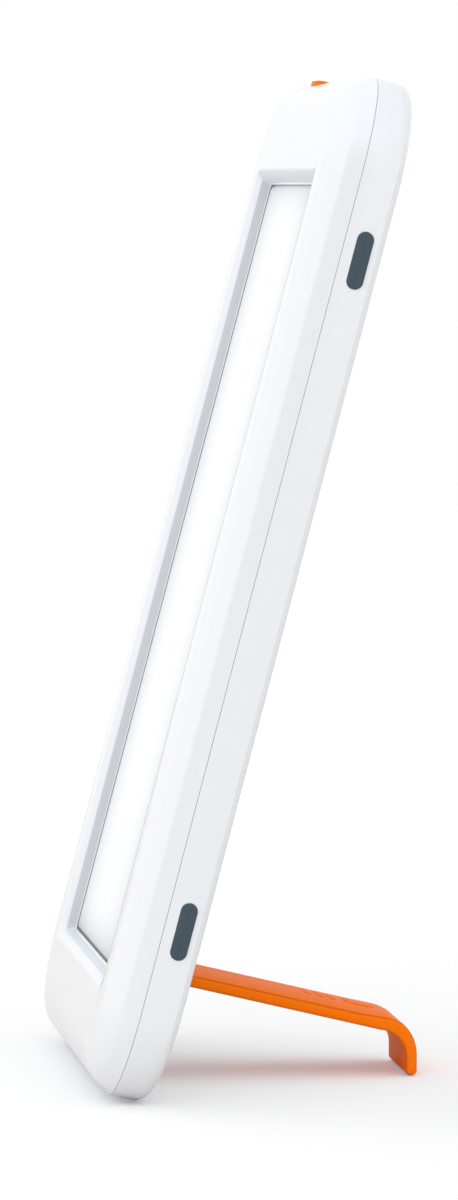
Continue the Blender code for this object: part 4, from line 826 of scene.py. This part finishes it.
def foot_hole(width, proud, place):
    """The recess that a foot is pressed into."""
    hole = bmesh.new()
    slot_shape(hole, FOOT_LENGTH + GAP / 2, width + GAP / 2, FOOT_SUNK + proud + OVERRUN + GAP)
    return placed(hole, place @ Matrix.Translation((0, 0, OVERRUN)))


def screw_places():
    """Where the six screws sit: near the corners and at mid-height."""
    x, z = HALF_WIDTH - SCREW_SIDE_INSET, HALF_HEIGHT - SCREW_END_INSET
    mid_x = HALF_WIDTH - SCREW_MID_INSET
    return [(x, z), (-x, z), (x, -z), (-x, -z), (mid_x, 0), (-mid_x, 0)]


def rear_tray():
    """The rear shell's rim, drafted sides, swept ends and slightly raised back, still without openings."""
    bm = bmesh.new()
    seam = PARTING_DEPTH + SEAM_GAP / 2
    rim_floor = PARTING_DEPTH + TONGUE_LENGTH + GAP
    rings = [shell_ring(bm, RIM_WIDTH, seam), *seam_rings(bm, seam, 1)]
    rings += [shell_ring(bm, inset_x, depth, inset_z) for inset_x, depth, inset_z in rear_outer_points()]
    flat_inset = SIDE_DRAFT + CHAMFER_INSET + BACK_RISE_RUN
    rings.append(shell_ring(bm, flat_inset, BODY_DEPTH, END_SWEEP_LENGTH + BACK_RISE_RUN / 2))
    walls = [shell_ring(bm, WALL, SWEEP_START)]
    walls.append(shell_ring(bm, WALL + CHAMFER_INSET, REAR_FLOOR, END_SWEEP_LENGTH))
    rim = [shell_ring(bm, RIM_WIDTH, rim_floor), shell_ring(bm, WALL, rim_floor)]
    bridge(bm, [*reversed(walls), *reversed(rim), *rings])
    cap(bm, rings[-1])
    cap(bm, walls[-1])
    return bm


def rear_bosses():
    """Bosses for the screws and the collar that the hub turns in."""
    bosses = bmesh.new()
    for x, z in screw_places():
        rod(bosses, (x, BOSS_START, z), (0, 1, 0), WELL_RADIUS + BOSS_WALL, REAR_FLOOR + GAP - BOSS_START)
    radius, length = HUB_RADIUS + GAP + COLLAR_WIDTH, REAR_FLOOR + BACK_WALL / 3 - COLLAR_DEPTH
    rod(bosses, (0, COLLAR_DEPTH, HUB_Z), (0, 1, 0), radius, length, HUB_STEPS)
    return bosses


def rear_bores():
    """The hub's bore, the hole over the socket and the wells of the screws."""
    bores = bmesh.new()
    bore_start = (0, COLLAR_DEPTH - OVERRUN, HUB_Z)
    rod(bores, bore_start, (0, 1, 0), HUB_RADIUS + GAP, COLLAR_HEIGHT + 2 * OVERRUN, HUB_STEPS)
    socket_spot = (HALF_WIDTH - SOCKET_SIDE_INSET, REAR_FLOOR - OVERRUN, HALF_HEIGHT - SOCKET_END_INSET)
    rod(bores, socket_spot, (0, 1, 0), SOCKET_NOSE_RADIUS + GAP, BACK_WALL + 2 * OVERRUN)
    for x, z in screw_places():
        rod(bores, (x, WELL_FLOOR, z), (0, 1, 0), WELL_RADIUS, SCREW_WELL_DEPTH + OVERRUN)
    return bores


def rear_steps():
    """The step round the hub's bore that its flange sits in, and the screws' narrow holes."""
    steps = bmesh.new()
    step_start = (0, HUB_FLANGE_FRONT - GAP, HUB_Z)
    rod(steps, step_start, (0, 1, 0), HUB_FLANGE_RADIUS + GAP, OVERRUN * 2, HUB_STEPS)
    for x, z in screw_places():
        hole_start = (x, BOSS_START - OVERRUN, z)
        rod(steps, hole_start, (0, 1, 0), SCREW_SHANK_RADIUS + GAP, BOSS_SKIN + 2 * OVERRUN)
    return steps


def rear_shell():
    """The shallow rear tray with openings for all that sits in it."""
    tools = [("UNION", rear_bosses()), ("DIFFERENCE", rear_bores()), ("DIFFERENCE", rear_steps())]
    for z in (SIDE_FOOT_Z, -SIDE_FOOT_Z):
        tools.append(("DIFFERENCE", foot_hole(SIDE_FOOT_WIDTH, SIDE_FOOT_PROUD, side_foot_place(z))))
    for x in (BASE_FOOT_X, -BASE_FOOT_X):
        tools.append(("DIFFERENCE", foot_hole(BASE_FOOT_WIDTH, BASE_FOOT_PROUD, base_foot_place(x))))
    tools.append(("DIFFERENCE", button_slot()))
    return carved(rear_tray(), tools)


def screen():
    """The opal window plate, softly pillowed at its edges."""
    bm = bmesh.new()
    edge = RECESS_INSET + SCREEN_GAP
    rings = []
    for step in range(SCREEN_STEPS + 1):
        angle = RIGHT_ANGLE * step / SCREEN_STEPS
        inset = edge + SCREEN_EDGE_WIDTH * (1 - math.sin(angle))
        rings.append(window_ring(bm, inset, SCREEN_DEPTH + SCREEN_EDGE_FALL * (1 - math.cos(angle))))
    rings.append(window_ring(bm, edge, FLANGE_FRONT))
    rings.append(window_ring(bm, GAP - SEAT_WIDTH, FLANGE_FRONT))
    rings.append(window_ring(bm, GAP - SEAT_WIDTH, FLANGE_BACK))
    bridge(bm, rings)
    cap(bm, rings[0])
    cap(bm, rings[-1])
    return bm


def power_button():
    """The button's cap: a slot shape with a rounded, slightly domed top."""
    bm = bmesh.new()
    slot_shape(bm, BUTTON_LENGTH, BUTTON_WIDTH, BUTTON_SUNK, BUTTON_ROUND)
    for vert in bm.verts:
        if vert.co.z > -BUTTON_ROUND / 2:
            vert.co.z -= BUTTON_CROWN * (2 * vert.co.y / BUTTON_WIDTH) ** 2
    return placed(bm, Matrix.Translation((BUTTON_X, PARTING_DEPTH, HALF_HEIGHT + BUTTON_PROUD)))


def foot(width, proud, place):
    """A pad pressed into its recess; its wide round-over is flattened into the dome that stands proud."""
    bm = bmesh.new()
    dome, run = min(FOOT_DOME, proud), FOOT_ROUND_SHARE * width
    slot_shape(bm, FOOT_LENGTH, width, FOOT_SUNK + proud + run - dome, run)
    for vert in bm.verts:
        if vert.co.z < -run:
            vert.co.z += run - dome
        else:
            vert.co.z *= dome / run
    return placed(bm, place)


def hub_disc():
    """The hub's flange, flush with the back, its face and its skirt."""
    bm = bmesh.new()
    inner = HUB_RADIUS - HUB_WALL
    profile = [(0, BODY_DEPTH)]
    for step in range(EDGE_STEPS + 1):
        angle = RIGHT_ANGLE * step / EDGE_STEPS
        radius = HUB_FLANGE_RADIUS - HUB_EDGE * (1 - math.sin(angle))
        profile.append((radius, BODY_DEPTH - HUB_EDGE * (1 - math.cos(angle))))
    profile += [(HUB_FLANGE_RADIUS, HUB_FLANGE_FRONT), (HUB_RADIUS, HUB_FLANGE_FRONT)]
    profile += [(HUB_RADIUS, HUB_FRONT_DEPTH), (inner, HUB_FRONT_DEPTH)]
    profile += [(inner, BODY_DEPTH - HUB_FACE), (0, BODY_DEPTH - HUB_FACE)]
    turned(bm, profile, (0, 0, HUB_Z), (0, 1, 0), HUB_STEPS)
    return bm


def channel_block():
    """The block round the stand's channel, with its two lower corners cut off."""
    wide = CHANNEL_HALF_WIDTH + CHANNEL_WALL
    low_z = CHANNEL_LOW - CHANNEL_WALL
    solid = bmesh.new()
    block(solid, (-wide, HUB_FRONT_DEPTH, low_z), (wide, BLOCK_BACK, CHANNEL_HIGH + CHANNEL_WALL))
    corners = [
        edge for edge in solid.edges
        if all(abs(vert.co.z - low_z) < GAP for vert in edge.verts)
        and abs(edge.verts[0].co.x - edge.verts[1].co.x) < GAP
    ]
    bmesh.ops.bevel(
        solid, geom=corners, offset=BLOCK_CORNER_CUT, segments=1, profile=0.5, affect="EDGES", material=-1
    )
    return solid


def hub():
    """The turning disc with the stand's channel and the bores of the hinge pin."""
    disc, solid = hub_disc(), channel_block()
    bosses = bmesh.new()
    low = (-PIN_REACH, HINGE_Y - PIN_BOSS_RADIUS, HINGE_Z - PIN_BOSS_RADIUS)
    block(bosses, low, (PIN_REACH, BLOCK_BACK - GAP, HINGE_Z + PIN_BOSS_RADIUS))
    channel = bmesh.new()
    low = (-CHANNEL_HALF_WIDTH, CHANNEL_FLOOR, CHANNEL_LOW)
    block(channel, low, (CHANNEL_HALF_WIDTH, BODY_DEPTH + OVERRUN, CHANNEL_HIGH))
    pin = bmesh.new()
    start = PIN_REACH + OVERRUN
    rod(pin, (-start, HINGE_Y, HINGE_Z), (1, 0, 0), PIN_RADIUS + PIN_CLEARANCE, 2 * start)
    return carved(disc, [("UNION", solid), ("UNION", bosses), ("DIFFERENCE", channel), ("DIFFERENCE", pin)])


def stand_bend(centre, turn):
    """Points round the outside and the inside of the stand's bend, which thins towards the lip."""
    outside = []
    inside = []
    for step in range(BEND_STEPS + 1):
        share = step / BEND_STEPS
        angle = RIGHT_ANGLE - turn * share
        normal = Vector((math.cos(angle), math.sin(angle)))
        thickness = STAND_THICKNESS + (STAND_LIP_THICKNESS - STAND_THICKNESS) * share
        outside.append(centre + normal * STAND_BEND_RADIUS)
        inside.append(centre + normal * (STAND_BEND_RADIUS - thickness))
    return outside, inside


def corner_height(corner):
    """How high above the floor the corner that the plate and the lip would meet in lies."""
    z = HINGE_Z + corner.x * math.sin(STAND_TILT) + corner.y * math.cos(STAND_TILT)
    y = HINGE_Y + corner.x * math.cos(STAND_TILT) - corner.y * math.sin(STAND_TILT)
    return FLOOR_DROP + z * math.cos(LEAN) - y * math.sin(LEAN)


def toe_arc(centre, outward, down, first):
    """A quarter of the round toe, from its first step on."""
    points = []
    for step in range(first, first + TOE_STEPS):
        angle = RIGHT_ANGLE * step / TOE_STEPS
        points.append(centre + (outward * math.cos(angle) + down * math.sin(angle)) * STAND_TOE_RADIUS)
    return points


def stand_outline():
    """The stand's side outline as (along, up) points from the hinge, with the lip turned down."""
    half = STAND_THICKNESS / 2
    turn = RIGHT_ANGLE - LEAN + STAND_TILT
    tangent = STAND_BEND_RADIUS * math.tan(turn / 2)
    corner = Vector((STAND_REACH, half))
    outside, inside = stand_bend(corner - Vector((tangent, STAND_BEND_RADIUS)), turn)
    outward = Vector((math.sin(turn), math.cos(turn)))
    down = Vector((math.cos(turn), -math.sin(turn)))
    straight = corner_height(corner) - tangent - STAND_TOE_RADIUS
    inside.append(inside[-1] + down * straight)
    outer_toe = outside[-1] + down * straight - outward * STAND_TOE_RADIUS
    inner_toe = inside[-1] + outward * STAND_TOE_RADIUS
    outside += toe_arc(outer_toe, outward, down, 1) + toe_arc(inner_toe, outward, down, TOE_STEPS)
    knuckle = []
    for step in range(KNUCKLE_STEPS + 1):
        angle = -RIGHT_ANGLE - 2 * RIGHT_ANGLE * step / KNUCKLE_STEPS
        knuckle.append(Vector((math.cos(angle), math.sin(angle))) * half)
    plate_end = STAND_REACH - tangent
    top = [Vector((plate_end * step / PLATE_STEPS, half)) for step in range(1, PLATE_STEPS)]
    return outside + list(reversed(inside)) + knuckle + top


def stand_places():
    """Places across the stand for its outline, closer together where the long edges round over."""
    flat = STAND_WIDTH / 2 - STAND_EDGE
    places = [flat * step / STAND_CAMBER_STEPS for step in range(STAND_CAMBER_STEPS + 1)]
    for step in range(1, STAND_EDGE_STEPS + 1):
        places.append(flat + STAND_EDGE * math.sin(RIGHT_ANGLE * step / STAND_EDGE_STEPS))
    return [-place for place in places[:0:-1]] + places


def stand_loop(bm, outline, x):
    """The outline at one place across the stand, drawn in by the rounded edges and the camber."""
    past = max(0, abs(x) - STAND_WIDTH / 2 + STAND_EDGE) / STAND_EDGE
    round_over = 1 - math.sqrt(max(0, 1 - past * past))
    camber = STAND_CAMBER * (2 * x / STAND_WIDTH) ** STAND_CAMBER_POWER
    verts = []
    for index, point in enumerate(outline):
        tangent = outline[(index + 1) % len(outline)] - outline[index - 1]
        outward = Vector((-tangent.y, tangent.x)).normalized()
        upper = outward.x + outward.y > 0
        inward = (STAND_EDGE if upper else STAND_UNDER_EDGE) * round_over
        if outward.y > 0 and point.y > STAND_THICKNESS / 4:
            run_in = point.x / STAND_CAMBER_START_RUN
            run_out = (STAND_REACH - point.x) / STAND_CAMBER_END_RUN
            inward += camber * max(0, min(1, run_in, run_out))
        along, up = point - outward * inward
        verts.append(bm.verts.new((x, along, up)))
    return [bm.edges.new(pair) for pair in zip(verts, verts[1:] + verts[:1])]


def stand_blank():
    """The leg's body: its outline's loops across the stand, skinned and closed at both sides."""
    bm = bmesh.new()
    outline = stand_outline()
    loops = [stand_loop(bm, outline, x) for x in stand_places()]
    for pair in zip(loops, loops[1:]):
        bmesh.ops.bridge_loops(bm, edges=pair[0] + pair[1])
    cap(bm, loops[0])
    cap(bm, loops[-1])
    return bm


def press_mark(along, length):
    """A low raised mark across the stand's plate, round at both ends."""
    mark = bmesh.new()
    slot_shape(mark, MARK_WIDTH, length, 2 * MARK_HEIGHT, MARK_HEIGHT * MARK_ROUND_SHARE)
    return placed(mark, Matrix.Translation((0, along, STAND_THICKNESS / 2 + MARK_HEIGHT)))


def stand_pockets():
    """The long pockets in the plate's underside, with ribs between them."""
    pockets = bmesh.new()
    low, high = -STAND_THICKNESS / 2 - OVERRUN, STAND_THICKNESS / 2 - POCKET_SKIN
    width = (STAND_WIDTH - 2 * POCKET_RIM - (POCKET_COUNT - 1) * POCKET_RIB) / POCKET_COUNT
    for index in range(POCKET_COUNT):
        low_x = -STAND_WIDTH / 2 + POCKET_RIM + index * (width + POCKET_RIB)
        block(pockets, (low_x, POCKET_START, low), (low_x + width, POCKET_END, high))
    return pockets


def washer_rooms():
    """What comes off both ends of the knuckle to make room for the washers."""
    rooms = bmesh.new()
    reach = STAND_THICKNESS / 2 + OVERRUN
    narrow, wide = STAND_WIDTH / 2 - WASHER_THICKNESS - GAP, STAND_WIDTH / 2 + OVERRUN
    for low_x, high_x in ((-wide, -narrow), (narrow, wide)):
        block(rooms, (low_x, -reach, -reach), (high_x, KNUCKLE_REACH, reach))
    return rooms


def stand_leg():
    """The leg: a plate from its knuckle to the turned-down lip, with marks, pockets and a bore."""
    bore = bmesh.new()
    start = (-STAND_WIDTH / 2 - OVERRUN, 0, 0)
    rod(bore, start, (1, 0, 0), PIN_RADIUS + PIN_CLEARANCE, STAND_WIDTH + 2 * OVERRUN)
    tools = [("UNION", press_mark(BARS_START + BAR_PITCH * index, BAR_LENGTH)) for index in range(BAR_COUNT)]
    tools.append(("UNION", press_mark(OVAL_CENTRE, OVAL_LENGTH)))
    tools += [("DIFFERENCE", stand_pockets()), ("DIFFERENCE", washer_rooms()), ("DIFFERENCE", bore)]
    place = Matrix.Translation((0, HINGE_Y, HINGE_Z)) @ Matrix.Rotation(STAND_TILT, 4, "X")
    return placed(carved(stand_blank(), tools), place)


def camera():
    """The camera, as far off and as high as the photograph's."""
    made = bpy.data.cameras.new("photo_camera")
    made.lens = LENS
    made.sensor_width = SENSOR
    made.clip_start = CLIP_NEAR
    made.clip_end = CLIP_FAR
    eye = bpy.data.objects.new("photo_camera", made)
    bpy.context.scene.collection.objects.link(eye)
    eye.rotation_mode = "QUATERNION"
    eye.location = STANCE.translation + CAMERA_REACH
    eye.rotation_quaternion = CAMERA_FORWARD.to_track_quat("-Z", "Y")
    bpy.context.scene.camera = eye


def direction(turn, rise):
    """A direction turned to the right of the lamp's front and raised above the floor."""
    return Vector((math.sin(turn) * math.cos(rise), -math.cos(turn) * math.cos(rise), math.sin(rise)))


def soft_light(name, turn, rise, spread, strength):
    """A broad far-off light; mirror-like reflections show the pale studio instead of it."""
    made = bpy.data.lights.new(name, "SUN")
    made.energy = strength
    made.angle = spread
    light = bpy.data.objects.new(name, made)
    bpy.context.scene.collection.objects.link(light)
    light.rotation_mode = "QUATERNION"
    light.rotation_quaternion = (-direction(turn, rise)).to_track_quat("-Z", "Y")
    light.visible_glossy = False


def pale_world():
    """White to the camera and in reflections, which also show one dark panel; a softer light to all else."""
    world = bpy.data.worlds.new("studio")
    bpy.context.scene.world = world
    sky = Wiring(world)
    plain = sky.nodes["Background"]
    sky.feed(plain.inputs["Color"], (1, 1, 1))
    sky.feed(plain.inputs["Strength"], WORLD_LIGHT)
    kinds = ("Is Camera Ray", "Is Glossy Ray", "Is Transmission Ray")
    to_camera, to_gloss, through = [sky.node("ShaderNodeLightPath", {}, output=kind) for kind in kinds]
    spot = sky.node("ShaderNodeTexCoord", {}, output="Generated")
    panel_way = direction(PANEL_TURN, PANEL_RISE)
    facing = sky.node("ShaderNodeVectorMath", {"operation": "DOT_PRODUCT"}, spot, panel_way, output="Value")
    edge, full = math.cos(PANEL_REACH + PANEL_FADE), math.cos(PANEL_REACH)
    panel = sky.node(
        "ShaderNodeMapRange", {"interpolation_type": "SMOOTHSTEP"},
        Value=facing, From_Min=edge, From_Max=full, To_Min=1, To_Max=PANEL_TONE
    )
    seen = sky.node("ShaderNodeBackground", {}, (1, 1, 1), 1 - to_gloss * (1 - panel))
    ray = to_camera.at_least(to_gloss).at_least(through)
    choice = sky.node("ShaderNodeMixShader", {}, ray, Wire(sky, plain.outputs[0]), seen)
    sky.feed(sky.nodes["World Output"].inputs["Surface"], choice)


def studio():
    """Soft, even light: a pale world and broad soft lights far off."""
    bpy.context.scene.view_settings.view_transform = "Standard"
    pale_world()
    soft_light("key_light", KEY_TURN, KEY_RISE, KEY_SPREAD, KEY_LIGHT)
    soft_light("side_light", SIDE_TURN, SIDE_RISE, SIDE_SPREAD, SIDE_LIGHT)
    soft_light("top_light", TOP_TURN, TOP_RISE, TOP_SPREAD, TOP_LIGHT)
    soft_light("fill_light", FILL_TURN, FILL_RISE, FILL_SPREAD, FILL_LIGHT)


def floor():
    """A plain pale floor: white to the camera, apart from the lamp's soft shadow."""
    bm = bmesh.new()
    bmesh.ops.create_grid(bm, x_segments=1, y_segments=1, size=FLOOR_REACH)
    mesh = bpy.data.meshes.new("floor")
    bm.to_mesh(mesh)
    bm.free()
    ground = bpy.data.objects.new("floor", mesh)
    bpy.context.scene.collection.objects.link(ground)
    ground.location = (0, 0, -FLOOR_DIP)
    mesh.materials.append(pale_floor())


def dress(frame, names, material):
    """Give carried-over nodes a finish."""
    for name in names:
        mesh = frame["nodes"][name].data
        mesh.materials.clear()
        mesh.materials.append(material)


def dress_small_pieces(frame):
    """Finishes for the pieces inside the casing and for its metal parts."""
    black = plain_finish("black_plastic", BLACK_TONES, 0.4, 0, 120, MOULDED_GRAIN)
    board = plain_finish("board_green", BOARD_TONES, 0.4, 0, 150, MOULDED_GRAIN)
    steel = plain_finish("turned_steel", STEEL_TONES, 0.25, 1, 300, SMOOTH_GRAIN)
    dress(frame, ["dc_socket", "tactile_switch", "switch_plunger"], black)
    dress(frame, ["led_strip_left", "led_strip_right", "control_board"], board)
    dress(frame, ["hub_retaining_ring", "hinge_pin", "hinge_washer_left", "hinge_washer_right"], steel)
    dress(frame, [name for name in frame["nodes"] if "_screw_" in name], steel)
    dress(frame, ["back_plate"], plain_finish("tray_metal", TRAY_TONES, 0.3, 1, 80, SMOOTH_GRAIN))
    dress(frame, ["reflector_sheet"], plain_finish("white_film", FILM_TONES, 0.5, 0, 60, SMOOTH_GRAIN))
    dress(frame, ["light_guide"], plain_finish("clear_guide", CLEAR_TONES, 0.05, 0, 40, SMOOTH_GRAIN))


def make_casing(white, orange):
    """The two shells, the window and the button."""
    # Painted shade round the window: the gap's shadow, the long recess walls, and the end walls with the top
    # bevel
    painted_shade_finishes = (
        plain_finish("gap_shade_grey", GAP_SHADE_TONES, 0.5, 0, 90, SMOOTH_GRAIN),
        plain_finish("recess_painted_shade", RECESS_SHADE_TONES, 0.3, 0, 40, RECESS_RIPPLE),
        plain_finish("recess_end_painted_shade", RECESS_END_SHADE_TONES, 0.3, 0, 40, RECESS_RIPPLE)
    )
    finished("front_frame_shell", front_frame(), white, "casing", "front_frame", painted_shade_finishes)
    finished("rear_casing_shell", rear_shell(), white, "casing", "rear_shell")
    finished("opal_window", screen(), opal_screen(), "casing", "diffuser_screen")
    finished("button_cap", power_button(), orange, "button", "power_button")


def make_feet():
    """Two pads on the right-hand long side and two under the bottom end."""
    rubber = slate_rubber()
    for name, z in (("side_foot_upper", SIDE_FOOT_Z), ("side_foot_lower", -SIDE_FOOT_Z)):
        shape = foot(SIDE_FOOT_WIDTH, SIDE_FOOT_PROUD, side_foot_place(z))
        finished(name + "_pad", shape, rubber, "casing", name)
    for name, x in (("base_foot_left", -BASE_FOOT_X), ("base_foot_right", BASE_FOOT_X)):
        shape = foot(BASE_FOOT_WIDTH, BASE_FOOT_PROUD, base_foot_place(x))
        finished(name + "_pad", shape, rubber, "casing", name)


def main():
    """Dress the frame's nodes, and add the pieces and the studio."""
    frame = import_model()
    white = moulded_white()
    orange = moulded_orange()
    dress_small_pieces(frame)
    make_casing(white, orange)
    make_feet()
    finished("turning_hub", hub(), white, "hub", "swivel_hub")
    finished("fold_out_leg", stand_leg(), orange, "leg", "stand_leg")
    floor()
    studio()
    camera()


main()
